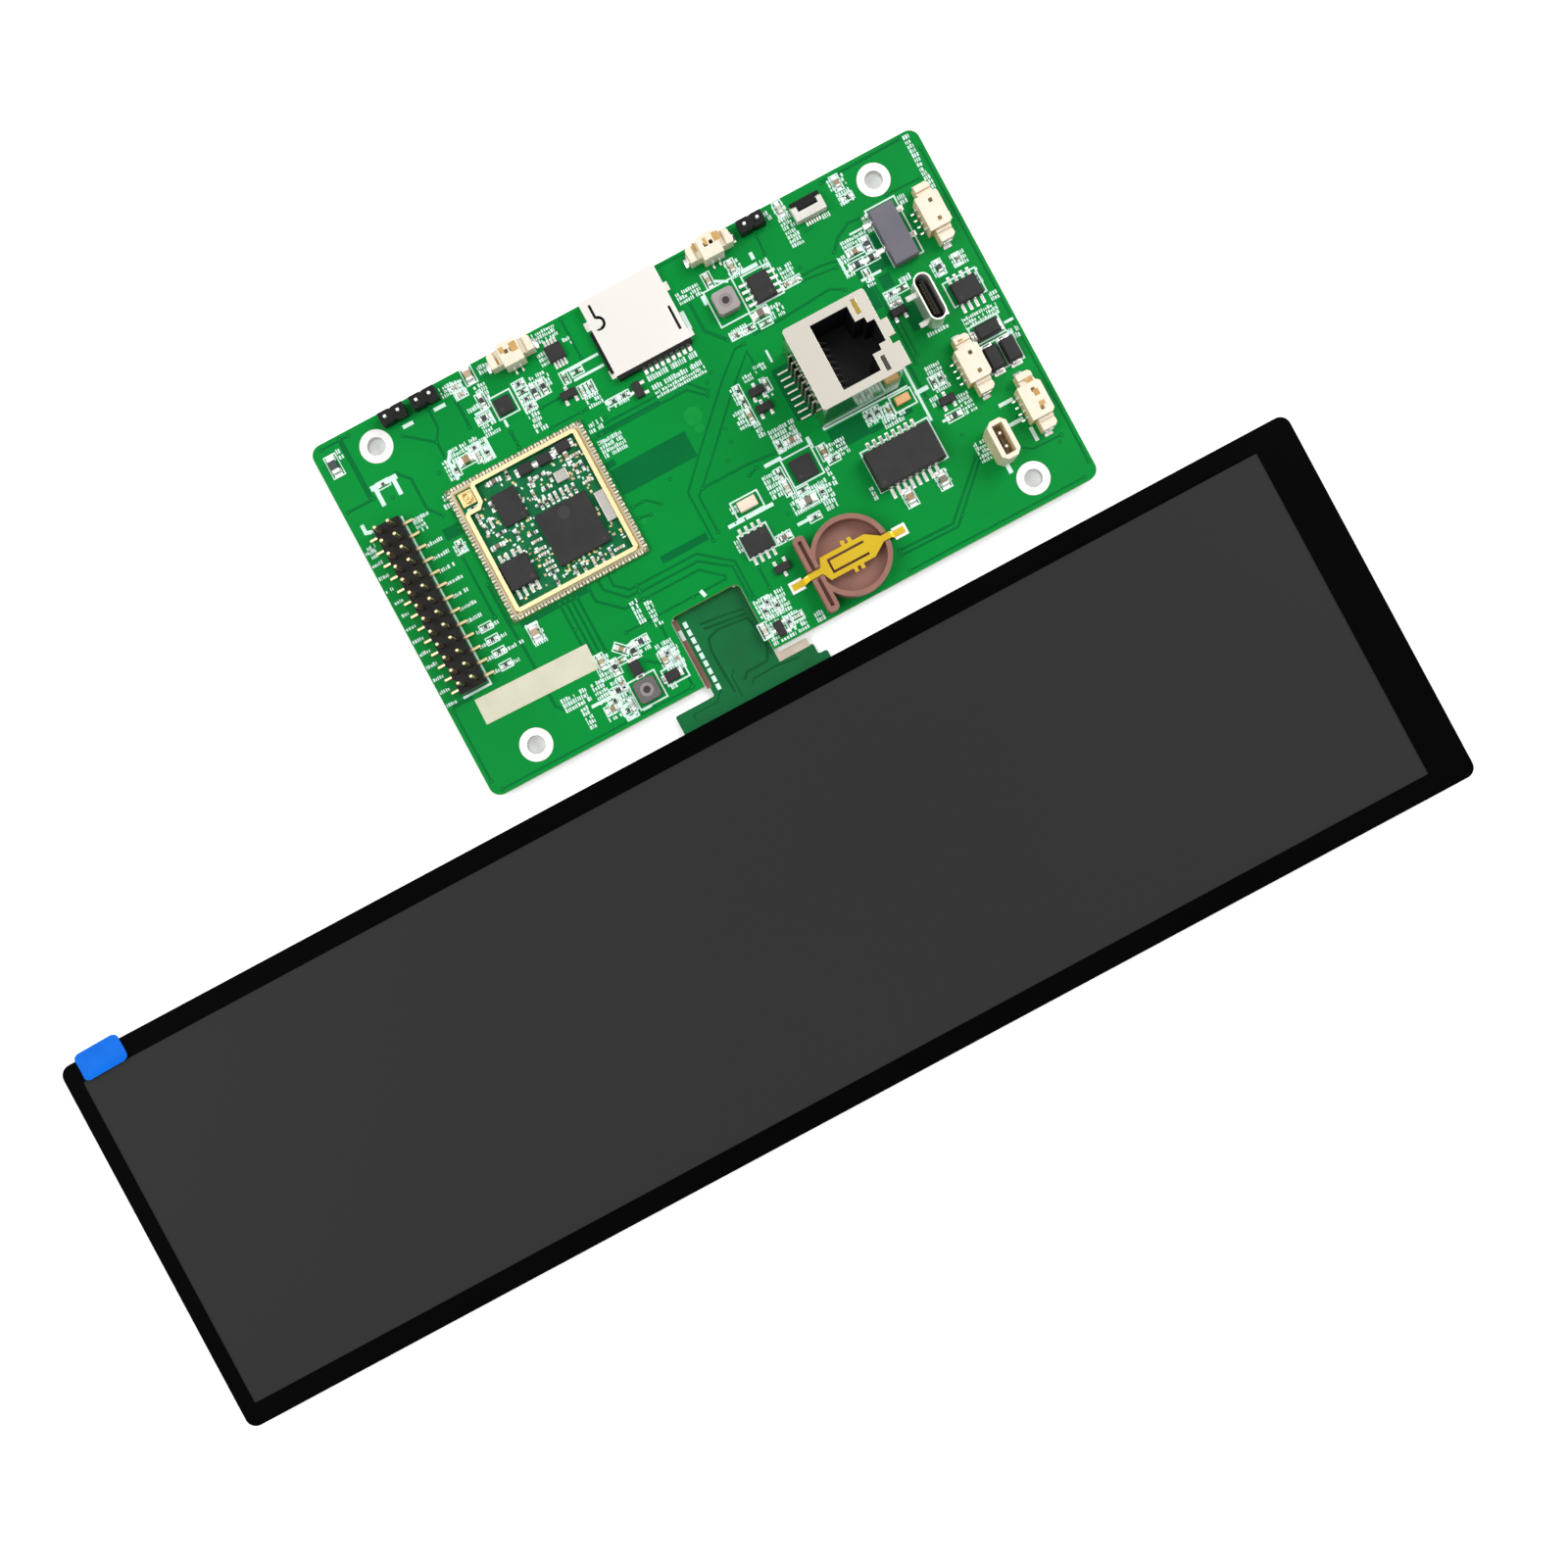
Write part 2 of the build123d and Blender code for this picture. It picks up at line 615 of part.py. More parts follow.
core_capacitors = {
    small_chip: ((10.4, 5.5, 0), (10.4, 6.5, 0), (10.4, 8.3, 0), (10.4, 9.3, 0), (10.4, 10.9, 0),
                 (13.8, 18.3, 90), (16.2, 16.2, 90), (17.2, 16.2, 90), (18.4, 16.2, 90), (19.5, 16.2, 90),
                 (22.7, 2.9, 0), (21.0, 2.9, 90), (17.6, 2.9, 90), (14.1, 3.0, 90), (4.8, 17.5, 90),
                 (14.5, 20.5, 90), (23.6, 21.2, 0), (23.4, 16.0, 0), (3.2, 19.1, 90)),
    medium_chip: ((8.7, 23.7, 0), (22.1, 21.6, 90), (3.9, 13.3, 0)),
}
core_resistors = {
    small_chip: ((10.4, 12.4, 0), (10.4, 4.6, 0), (14.1, 16.2, 90), (15.1, 16.2, 90), (20.7, 16.0, 90),
                 (11.3, 23.7, 90), (3.5, 16.9, 90), (5.5, 15.1, 0), (7.8, 13.5, 90), (6.2, 19.9, 90),
                 (15.6, 2.9, 90), (19.2, 2.9, 90), (16.4, 20.9, 0), (17.8, 19.8, 90), (16.4, 18.3, 0),
                 (22.5, 18.9, 90), (23.8, 18.9, 90), (3.2, 21.3, 0), (10.2, 2.9, 90)),
}


def make_passives():
    for table, name, seat in ((board_capacitors, "chip_capacitors", on_board),
                              (board_resistors, "chip_resistors", on_board),
                              (core_capacitors, "chip_capacitors", on_core),
                              (core_resistors, "chip_resistors", on_core)):
        for (length, width, height), places in table.items():
            for x, y, turn in places:
                keep(name, seat(x, y, turn) * stand(length, width, height))
    keep("tantalum_capacitors", on_board(64.1, 24.8) * stand(3.5, 1.9, 1.6),
         on_board(97.0, 28.2) * stand(2.7, 1.5, 1.4))
    for x, y, size, height in ((77.6, -12.0, 4.2, 2.4), (33.0, 4.2, 4.1, 2.0)):
        body = stand(size, size, height)
        keep("power_inductors", on_board(x, y) * chamfer(body.edges().filter_by(Axis.Z), 0.5))
    keep("crystals", on_core(24.1, 10.6) * stand(1.9, 5.8, 1.0), on_core(19.7, 19.0) * stand(2.5, 2.1, 0.7))


def make_core():
    place = on_board(core_left + core_length / 2, core_front + core_width / 2)
    keep("core_board", place * stand(core_length, core_width, core_thickness))
    for turn, out in ((0, core_width), (90, core_length), (180, core_width), (270, core_length)):
        for step in spread(core_pad_count, core_pad_pitch):
            pad = stand(core_pad_width, core_pad_depth, core_pad_thickness, step,
                        (core_pad_depth - out) / 2, core_thickness)
            keep("core_pads", place * Rot(0, 0, turn) * pad)

    low_x, high_x = -core_length / 2 + fence_inset_x, core_length / 2 - fence_inset_x
    low_y, high_y = -core_width / 2 + fence_inset_y, core_width / 2 - fence_inset_y
    jog_x, jog_y = low_x + fence_jog_x, high_y - fence_jog_y
    outline = Polygon((low_x, low_y), (high_x, low_y), (high_x, high_y), (jog_x, high_y), (jog_x, jog_y),
                      (low_x, jog_y), align=None)
    outline = chamfer(outline.vertices(), fence_corner)
    wall = outline - offset(outline, -fence_metal, kind=Kind.INTERSECTION)
    flange = outline - offset(outline, -fence_flange, kind=Kind.INTERSECTION)
    fence = extrude(wall, fence_height)
    fence += Pos(0, 0, fence_height - fence_metal) * extrude(flange, fence_metal)
    keep("shield_fence", Pos(0, 0, core_thickness) * place * fence)

    coax = stand(2.6, 2.6, coax_base)
    collar = RegularPolygon(coax_radius, ring_sides) - RegularPolygon(coax_bore, ring_sides)
    coax += Pos(0, 0, coax_base) * extrude(collar, coax_height - coax_base)
    keep("antenna_socket", on_core(3.1, 23.3) * coax)
    keep("antenna_socket", on_core(3.1, 23.3) * stand(0.4, 0.4, 0.7, 0, 0, coax_base))


def make_headers():
    rows = spread(header_rows, pin_pitch)
    length = header_rows * pin_pitch
    column = pin_pitch / 2
    hole = pin_size + 2 * pin_clearance
    body = stand(2 * pin_pitch, length, header_body_height, 0, 0, header_lift)
    place = on_board(6.35, 35.24)
    foot = pin_size / 2
    path = [(0, header_pin_top), (0, foot), (header_foot_reach - column, foot)]
    pin = strip(path, pin_size, pin_size)
    for y in rows:
        for side, turn in ((-1, 180), (1, 0)):
            body -= stand(hole, hole, header_pin_top, side * column, y)
            keep("pin_header_pins", place * Pos(side * column, y, 0) * Rot(0, 0, turn) * pin)
    for y in spread(header_rows - 1, pin_pitch):
        for side in (-1, 1):
            groove = Pos(side * pin_pitch, y, 0) * Rot(0, 0, 45) * stand(header_notch, header_notch, 9)
            body -= groove
    keep("pin_header_housing", place * body)

    for x, y in jumper_places:
        case = stand(jumper_length, jumper_depth, jumper_height)
        for step in spread(2, pin_pitch):
            case -= stand(hole, hole, jumper_height, step, 0)
            keep("through_pins", on_board(x, y) * stand(pin_size, pin_size, jumper_pin_top - pin_below,
                                                        step, 0, pin_below))
        waist = Rot(0, 0, 45) * stand(header_notch, header_notch, jumper_height)
        for side in (-1, 1):
            case -= Pos(0, side * jumper_depth / 2, 0) * waist
        keep("jumper_housings", on_board(x, y) * case)


# Upright network jack: folded metal shell, moulded insert, eight bent contacts and two lamp windows
def make_jack():
    place = on_board(*jack_place)
    half = jack_length / 2
    start = -half + jack_mouth_start
    wide_end = start + jack_mouth_length
    latch_end = wide_end + jack_latch_step
    key_end = latch_end + jack_key_step
    steps = ((start, jack_mouth_width), (wide_end, jack_mouth_width), (wide_end, jack_latch_width),
             (latch_end, jack_latch_width), (latch_end, jack_key_width), (key_end, jack_key_width))
    mouth = [(x, width / 2) for x, width in steps] + [(x, -width / 2) for x, width in reversed(steps)]
    under_top = jack_height - jack_metal
    shell = plate(jack_length, jack_width, jack_height, 0, jack_corner)
    shell -= stand(jack_length - 2 * jack_metal, jack_width - 2 * jack_metal, under_top)
    shell -= prism(mouth, jack_height)
    window = ((jack_contact_count - 1) * lead_pitch + 1.4) / 2
    shell -= block(-half, -half + jack_metal, -window, window, 0, jack_contact_height + 0.6)
    lamp_x = latch_end - jack_lamp_length / 2
    lamps = [stand(jack_lamp_length, jack_lamp_width, jack_lamp_height, lamp_x, side * jack_lamp_offset,
                   jack_height - jack_lamp_height) for side in (-1, 1)]
    for lamp in lamps:
        shell -= lamp
        keep("jack_lamp_windows", place * lamp)
    for y, width in ((-5.3, 4.4), (-0.2, 3.2)):
        shell += block(half - jack_metal, half + jack_tab_reach, y - width / 2, y + width / 2,
                       under_top, jack_height)
    for x, y in jack_peg_places:
        shell += stand(jack_metal, jack_peg_width, 1 - pin_below, x, y, pin_below)
    keep("network_jack_shell", place * shell)

    gap = jack_metal + shell_clearance
    insert = stand(jack_length - 2 * gap, jack_width - 2 * gap, under_top)
    insert -= Pos(0, 0, under_top - jack_mouth_depth) * prism(mouth, jack_mouth_depth)
    for lamp in lamps:
        insert -= lamp
    contact_start = -half - jack_contact_reach
    foot = jack_contact_metal / 2
    path = [(contact_start, foot), (-half - foot - 0.15, foot), (-half - foot - 0.15, jack_contact_height),
            (start + 0.2, jack_contact_height), (start + 2.6, under_top - jack_mouth_depth + 0.9)]
    contact = strip(path, jack_contact_metal, jack_contact_width)
    for y in spread(jack_contact_count, lead_pitch):
        insert -= block(-half, start, y - jack_contact_width / 2 - 0.05, y + jack_contact_width / 2 + 0.05,
                        under_top - jack_mouth_depth, jack_contact_height + 0.4)
        keep("network_jack_contacts", place * Pos(0, y, 0) * contact)
    keep("network_jack_insert", place * insert)


# Upright USB socket: a rounded tube round a base and a flat tongue
def make_usb():
    place = on_board(-13.0, 40.8)
    outline = Rot(0, 0, 90) * SlotOverall(usb_length, usb_width)
    bore = Rot(0, 0, 90) * SlotOverall(usb_length - 2 * usb_wall, usb_width - 2 * usb_wall)
    shell = extrude(outline - bore, usb_top)
    for side in (-1, 1):
        for y in spread(2, usb_foot_pitch):
            start = usb_width / 2 - usb_wall / 2
            foot = block(start, usb_width / 2 + usb_foot_reach, y - usb_foot_width / 2,
                         y + usb_foot_width / 2, 0, usb_foot_height)
            shell += Rot(0, 0, 0 if side > 0 else 180) * foot
    keep("usb_socket_shell", place * shell)
    gap = 2 * (usb_wall + shell_clearance)
    core = extrude(Rot(0, 0, 90) * SlotOverall(usb_length - gap, usb_width - gap), usb_base_height)
    core += stand(usb_tongue_width, usb_tongue_length, usb_top - usb_tongue_drop)
    keep("usb_socket_core", place * core)


# Memory card socket: a moulded tray under a folded cover, open towards the board's far edge
def make_card_socket():
    place = on_board(61.8, -7.5)
    half_x, half_y = card_length / 2, card_width / 2
    inside = card_metal + shell_clearance
    tray_top = card_height - card_metal
    tray = block(-half_x + inside, half_x - inside, -half_y - card_lip, half_y - inside, 0, tray_top)
    tray -= block(-half_x + inside + card_left_wall, half_x - inside - card_right_wall,
                  -half_y + inside + card_rear_wall, half_y, card_floor, tray_top)
    keep("card_socket_base", place * tray)
    cover = block(-half_x, half_x, -half_y + card_metal, half_y, tray_top, card_height)
    for side in (-1, 1):
        cover += stand(card_metal, card_width - card_metal, card_height,
                       side * (half_x - card_metal / 2), card_metal / 2)
    for side, y in ((-1, 3.4), (1, 3.2), (-1, -6.1), (1, -5.9)):
        cover += stand(card_metal + card_tab_reach, card_tab_length, card_metal,
                       side * (half_x + (card_tab_reach - card_metal) / 2), y)
    # The hooked slit of the latch finger, and the straight slit of the detect spring
    hook = Circle(card_hook_radius) - Circle(card_hook_radius - card_slit)
    hook -= Pos(-card_hook_radius, 0.3) * Rectangle(2 * card_hook_radius, 2.4)
    hook += Pos(0, card_hook_radius + 1) * Rectangle(card_slit, 2.6)
    hook = Pos(-half_x + card_hook_radius + 0.3, 2.6, tray_top) * hook
    cover -= extrude(hook, card_metal, dir=(0, 0, 1))
    cover -= block(half_x - 1.3, half_x - 0.8, -5.1, -0.5, tray_top, card_height)
    keep("card_socket_cover", place * cover)
    contact_y = -half_y - card_lip - card_contact_length / 2
    for x in spread(card_contact_count, card_contact_pitch):
        keep("card_socket_contacts", place * stand(card_contact_width, card_contact_length, lead_thickness,
                                                   x + card_contact_shift, contact_y))


# A side-entry wafer socket, its mouth towards +X: a hollow body with a grooved ear at each end
def wafer(contacts, place):
    half = (wafer_pitch * (contacts - 1) + wafer_end) / 2
    end = half + wafer_ear
    front, back = wafer_depth / 2, -wafer_depth / 2
    ear_back, ear_front = back + wafer_ear_setback, front - wafer_front_step
    body = block(back, front, -half, half, 0, wafer_height)
    body = chamfer(body.edges().filter_by(Axis.Z).group_by(Axis.X)[-1], wafer_front_step)
    ear = block(ear_back, ear_front, -end, end, 0, wafer_height - wafer_ear_drop)
    body += chamfer(ear.edges().filter_by(Axis.Z).group_by(Axis.X)[-1], wafer_front_step)
    body -= block(back + wafer_rear_wall, front, -half + wafer_wall, half - wafer_wall,
                  wafer_wall, wafer_height - wafer_wall)
    groove_low = wafer_height - wafer_ear_drop - wafer_groove
    for side in (-1, 1):
        body -= stand(wafer_depth, wafer_groove, 2 * wafer_groove, ear_back + wafer_depth / 2,
                      side * (half + 2 * wafer_groove), groove_low)
        body -= stand(wafer_window, wafer_window, wafer_wall, 0.3,
                      side * (half - wafer_wall - wafer_window), wafer_height - wafer_wall)
    level = wafer_height / 2
    heel = back - wafer_pin / 2 - pin_clearance
    path = [(front - 0.8, level), (heel, level), (heel, wafer_pin / 2), (heel - 0.8, wafer_pin / 2)]
    pin = strip(path, wafer_pin, wafer_pin)
    hole = wafer_pin / 2 + pin_clearance
    for y in spread(contacts, wafer_pitch):
        body -= block(back, back + wafer_rear_wall, y - hole, y + hole, level - hole, level + hole)
        keep("wafer_pins", place * Pos(0, y, 0) * pin)
    keep("wafer_housings", place * body)
    for side in (-1, 1):
        tab = stand(1.6, wafer_tab, wafer_height / 2, 0, side * (end + wafer_tab / 2))
        tab += stand(1.6, 0.8, wafer_tab, 0, side * (end + 0.4))
        keep("wafer_pins", place * tab)


def make_wafers():
    wafer(4, on_board(-4.85, -15.7))
    wafer(4, on_board(-11.3, 27.5))
    wafer(4, on_board(-4.7, 16.6))
    wafer(2, on_board(39.8, -2.5, 90))
    wafer(2, on_board(79.4, -2.5, 90))

    place = on_board(*upright_place)
    body = stand(upright_length, upright_width, upright_height)
    body = chamfer(body.edges().filter_by(Axis.Z), upright_corner)
    body -= stand(upright_length - 2 * upright_wall, upright_width - 2 * upright_wall, upright_height,
                  0, 0, upright_floor)
    hole = pin_size + 2 * pin_clearance
    for y in spread(2, pin_pitch):
        body -= stand(hole, hole, upright_floor, 0, y)
        pin = stand(pin_size, pin_size, upright_height - 1 - pin_below, 0, y, pin_below)
        keep("through_pins", place * pin)
    keep("wafer_housings", place * body)


# Coin cell holder: a ring with a straight bar, open between them, and a sprung contact strip across it
def make_coin_holder():
    place = on_board(75.8, 7.9)
    bore = coin_bore / 2
    outer = bore + coin_wall
    bar_end = -bore + 0.4
    bar_middle = bar_end - coin_bar_width / 2
    bar = stand(coin_bar_width, 2 * outer, coin_height, bar_middle)
    bar = fillet(bar.edges().filter_by(Axis.Z), coin_bar_corner)
    bar -= stand(coin_groove_width, 2 * bore, coin_groove_depth, bar_middle, 0,
                 coin_height - coin_groove_depth)
    body = extrude(Circle(outer), coin_height) - block(-outer, bar_end, -outer, outer, 0, coin_height)
    body -= Pos(0, 0, coin_floor) * extrude(Circle(bore), coin_height)
    body += bar
    slot = spring_end_width + 0.4
    body -= block(bar_end - coin_bar_width, bar_end, -slot / 2, slot / 2, spring_level - 0.2, coin_height)
    body -= block(0, outer, -slot / 2, slot / 2, spring_level - 0.2, coin_height)
    keep("coin_holder", place * body)

    level = spring_level + spring_thickness / 2
    foot = spring_thickness / 2
    half_long, half_wide, half_end = spring_length / 2, spring_width / 2, spring_end_width / 2
    spring = prism(((-half_long, -half_wide), (half_long - 1.5, -half_wide), (half_long + 1.0, -half_end),
                    (half_long + 1.0, half_end), (half_long - 1.5, half_wide), (-half_long, half_wide),
                    (-half_long - 0.8, half_end), (-half_long - 0.8, -half_end)),
                   spring_thickness, spring_level)
    # The tongue is cut free on three sides
    opening_start, opening_half = -half_long + spring_frame, half_wide - spring_frame
    tongue_half = opening_half - spring_slit
    opening = block(opening_start, tongue_root, -opening_half, opening_half, 0, coin_height)
    tongue = block(opening_start + spring_slit, tongue_root, -tongue_half, tongue_half, 0, coin_height)
    spring -= opening - tongue
    left = [(-half_long, level), (-outer - 1.2, level), (-outer - 2.0, foot), (-spring_foot_left, foot)]
    right = [(half_long, level), (outer + 0.5, level), (outer + 1.3, foot), (spring_foot_right, foot)]
    spring += strip(left, spring_thickness, spring_end_width)
    spring += strip(right, spring_thickness, spring_end_width)
    for side in (-1, 1):
        for x in (-0.4, 0.9):
            spring += stand(prong_width, prong_length, spring_thickness, x, side * half_wide, spring_level)
    keep("coin_holder_spring", place * spring)


make_panel()
make_tail()
make_board()
make_ribbon_sockets()
make_core()
make_chips()
make_rectifiers()
make_passives()
make_headers()
make_jack()
make_usb()
make_card_socket()
make_wafers()
make_coin_holder()

for name, solids in nodes.items():
    export_step(Compound(children=solids), f"parts/{name}.step")
print(len(nodes), "nodes,", sum(len(solids) for solids in nodes.values()), "solids")
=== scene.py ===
import bpy
import bmesh
import math
import random
from mathutils import Matrix, Vector
from mathutils.bvhtree import BVHTree


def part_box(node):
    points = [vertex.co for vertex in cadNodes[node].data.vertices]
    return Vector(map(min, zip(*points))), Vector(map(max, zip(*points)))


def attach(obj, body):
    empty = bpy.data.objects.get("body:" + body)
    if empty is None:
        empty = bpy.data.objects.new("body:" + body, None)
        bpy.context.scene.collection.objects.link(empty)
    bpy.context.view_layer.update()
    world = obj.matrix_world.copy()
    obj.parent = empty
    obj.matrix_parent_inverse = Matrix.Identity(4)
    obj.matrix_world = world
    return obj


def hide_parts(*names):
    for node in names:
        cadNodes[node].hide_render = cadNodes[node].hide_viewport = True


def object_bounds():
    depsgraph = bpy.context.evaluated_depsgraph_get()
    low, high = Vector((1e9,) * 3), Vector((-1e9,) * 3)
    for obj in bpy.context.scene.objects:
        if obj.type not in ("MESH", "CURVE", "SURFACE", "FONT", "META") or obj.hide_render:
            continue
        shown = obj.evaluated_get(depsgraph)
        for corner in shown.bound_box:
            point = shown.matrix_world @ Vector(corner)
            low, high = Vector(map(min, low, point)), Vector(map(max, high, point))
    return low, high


# A bar display and its control board, lying on a white table and seen from straight above.
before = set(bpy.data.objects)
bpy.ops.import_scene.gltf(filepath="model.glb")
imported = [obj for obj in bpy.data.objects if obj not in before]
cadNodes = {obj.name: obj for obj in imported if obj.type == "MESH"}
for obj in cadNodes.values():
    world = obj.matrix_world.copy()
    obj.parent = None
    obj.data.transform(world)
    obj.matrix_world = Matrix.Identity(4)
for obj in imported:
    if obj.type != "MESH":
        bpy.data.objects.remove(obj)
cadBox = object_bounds()
mm = 0.001
weldDistance = 2e-6  # corners nearer than this are one corner, in metres
sameLevel = 1e-5  # corners this close in height lie on one level, in metres
flatAngle = math.radians(0.5)  # faces that meet at less than this are one flat
cavityReach = 3.5  # how far across a socket's cavity may be, in millimetres
skinLift = 0.02  # how far off a face a ray starts, in millimetres
print("frame loaded,", len(cadNodes), "nodes")

boardLow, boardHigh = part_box("circuit_board")
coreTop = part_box("core_board")[1].z
boardTop = boardHigh.z


# A place on the board, in millimetres from its lower left corner
def onBoard(x, y, lift=0.0):
    return Vector((boardLow.x + x * mm, boardLow.y + y * mm, boardTop + lift * mm))


# Shader groups that several finishes share

noiseSpan = (0.3, 0.7)  # the part of a noise's range that its values really reach
noiseDetail = {"patches": 3.0, "grain": 2.0, "lines": 4.0}
lineStretch = (0.04, 1.0, 1.0)  # brushed lines run along the first axis
threadWander = 0.4


def newGroup(name, inputs, outputs):
    group = bpy.data.node_groups.new(name, "ShaderNodeTree")
    for label, kind, value in inputs:
        socket = group.interface.new_socket(name=label, in_out="INPUT", socket_type=kind)
        socket.default_value = value
    for label, kind in outputs:
        group.interface.new_socket(name=label, in_out="OUTPUT", socket_type=kind)
    return group, group.nodes.new("NodeGroupInput"), group.nodes.new("NodeGroupOutput")


def noiseNode(tree, scaleFrom, detail, vector=None):
    noise = tree.nodes.new("ShaderNodeTexNoise")
    noise.inputs["Detail"].default_value = detail
    tree.links.new(scaleFrom, noise.inputs["Scale"])
    if vector is None:
        vector = tree.nodes.new("ShaderNodeTexCoord").outputs["Object"]
    tree.links.new(vector, noise.inputs["Vector"])
    return noise.outputs["Fac"]


def rangeNode(tree, value, low, high, span=noiseSpan):
    spread = tree.nodes.new("ShaderNodeMapRange")
    tree.links.new(value, spread.inputs["Value"])
    spread.inputs["From Min"].default_value, spread.inputs["From Max"].default_value = span
    for socket, end in (("To Min", low), ("To Max", high)):
        if isinstance(end, float):
            spread.inputs[socket].default_value = end
        else:
            tree.links.new(end, spread.inputs[socket])
    return spread.outputs["Result"]


def mixNode(tree, factor, first, second):
    mix = tree.nodes.new("ShaderNodeMix")
    mix.data_type = "RGBA"
    tree.links.new(factor, mix.inputs["Factor"])
    tree.links.new(first, mix.inputs["A"])
    tree.links.new(second, mix.inputs["B"])
    return mix.outputs["Result"]


# Cloudy change of colour, and the small grain of a moulded, rolled or printed surface
def buildMottle():
    group, inside, out = newGroup("mottle", [
        ("Colour", "NodeSocketColor", (0.5, 0.5, 0.5, 1)), ("Shade", "NodeSocketColor", (0.4, 0.4, 0.4, 1)),
        ("Patch Scale", "NodeSocketFloat", 120.0), ("Grain Scale", "NodeSocketFloat", 3000.0),
        ("Smoothest", "NodeSocketFloat", 0.4), ("Roughest", "NodeSocketFloat", 0.5)],
        [("Colour", "NodeSocketColor"), ("Roughness", "NodeSocketFloat"), ("Height", "NodeSocketFloat")])
    patches = noiseNode(group, inside.outputs["Patch Scale"], noiseDetail["patches"])
    grain = noiseNode(group, inside.outputs["Grain Scale"], noiseDetail["grain"])
    share = rangeNode(group, patches, 0.0, 1.0)
    colour = mixNode(group, share, inside.outputs["Colour"], inside.outputs["Shade"])
    group.links.new(colour, out.inputs["Colour"])
    rough = rangeNode(group, patches, inside.outputs["Smoothest"], inside.outputs["Roughest"])
    group.links.new(rough, out.inputs["Roughness"])
    group.links.new(grain, out.inputs["Height"])
    return group


# Fine lines along one direction, as rolling or brushing leaves them
def buildBrushing():
    group, inside, out = newGroup("brushing", [
        ("Line Scale", "NodeSocketFloat", 400.0), ("Stretch", "NodeSocketVector", lineStretch)],
        [("Height", "NodeSocketFloat")])
    stretch = group.nodes.new("ShaderNodeVectorMath")
    stretch.operation = "MULTIPLY"
    coords = group.nodes.new("ShaderNodeTexCoord")
    group.links.new(coords.outputs["Object"], stretch.inputs[0])
    group.links.new(inside.outputs["Stretch"], stretch.inputs[1])
    lines = noiseNode(group, inside.outputs["Line Scale"], noiseDetail["lines"], stretch.outputs["Vector"])
    group.links.new(lines, out.inputs["Height"])
    return group


# The cloth of glass fibre that shows faintly through a board's mask
def buildWeave():
    group, inside, out = newGroup("glassWeave", [("Thread Scale", "NodeSocketFloat", 900.0)],
                                  [("Height", "NodeSocketFloat")])
    coords = group.nodes.new("ShaderNodeTexCoord")
    heights = []
    for direction in ("X", "Y"):
        wave = group.nodes.new("ShaderNodeTexWave")
        wave.bands_direction = direction
        wave.inputs["Distortion"].default_value = threadWander
        group.links.new(inside.outputs["Thread Scale"], wave.inputs["Scale"])
        group.links.new(coords.outputs["Object"], wave.inputs["Vector"])
        heights.append(wave.outputs["Fac"])
    both = group.nodes.new("ShaderNodeMath")
    both.operation = "ADD"
    group.links.new(heights[0], both.inputs[0])
    group.links.new(heights[1], both.inputs[1])
    group.links.new(both.outputs["Value"], out.inputs["Height"])
    return group


groups = {"mottle": buildMottle(), "brushing": buildBrushing(), "weave": buildWeave()}
print("shader groups built:", ", ".join(groups))


def groupNode(tree, name, values):
    node = tree.nodes.new("ShaderNodeGroup")
    node.node_tree = groups[name]
    for label, value in values.items():
        node.inputs[label].default_value = value
    return node


def rgba(colour):
    return (*colour, 1.0)


# What a surface has where its look doesn't say
plainFinish = {
    "patches": 140.0, "grain": 3500.0, "bump": 0.15, "depth": 0.02, "metallic": 0.0, "specular": 0.5,
    "coat": 0.0, "coatRoughness": 0.1, "transmission": 0.0, "subsurface": 0.0, "shadeShare": 0.82,
}
scatterReach = (0.6 * mm, 0.45 * mm, 0.3 * mm)
uprightSpan = (0.75, 0.95)  # faces are upright below the first slope and flat above the second


# Gives every upright face another colour: a cut board's bare edge, and on the jack's shell a painted
# reflection of the green board with painted shade
def edgeColour(tree, colour, sideColour):
    geometry = tree.nodes.new("ShaderNodeNewGeometry")
    split = tree.nodes.new("ShaderNodeSeparateXYZ")
    tree.links.new(geometry.outputs["Normal"], split.inputs["Vector"])
    slope = tree.nodes.new("ShaderNodeMath")
    slope.operation = "ABSOLUTE"
    tree.links.new(split.outputs["Z"], slope.inputs[0])
    edge = tree.nodes.new("ShaderNodeRGB")
    edge.outputs[0].default_value = rgba(sideColour)
    share = rangeNode(tree, slope.outputs["Value"], 1.0, 0.0, uprightSpan)
    return mixNode(tree, share, colour, edge.outputs[0])


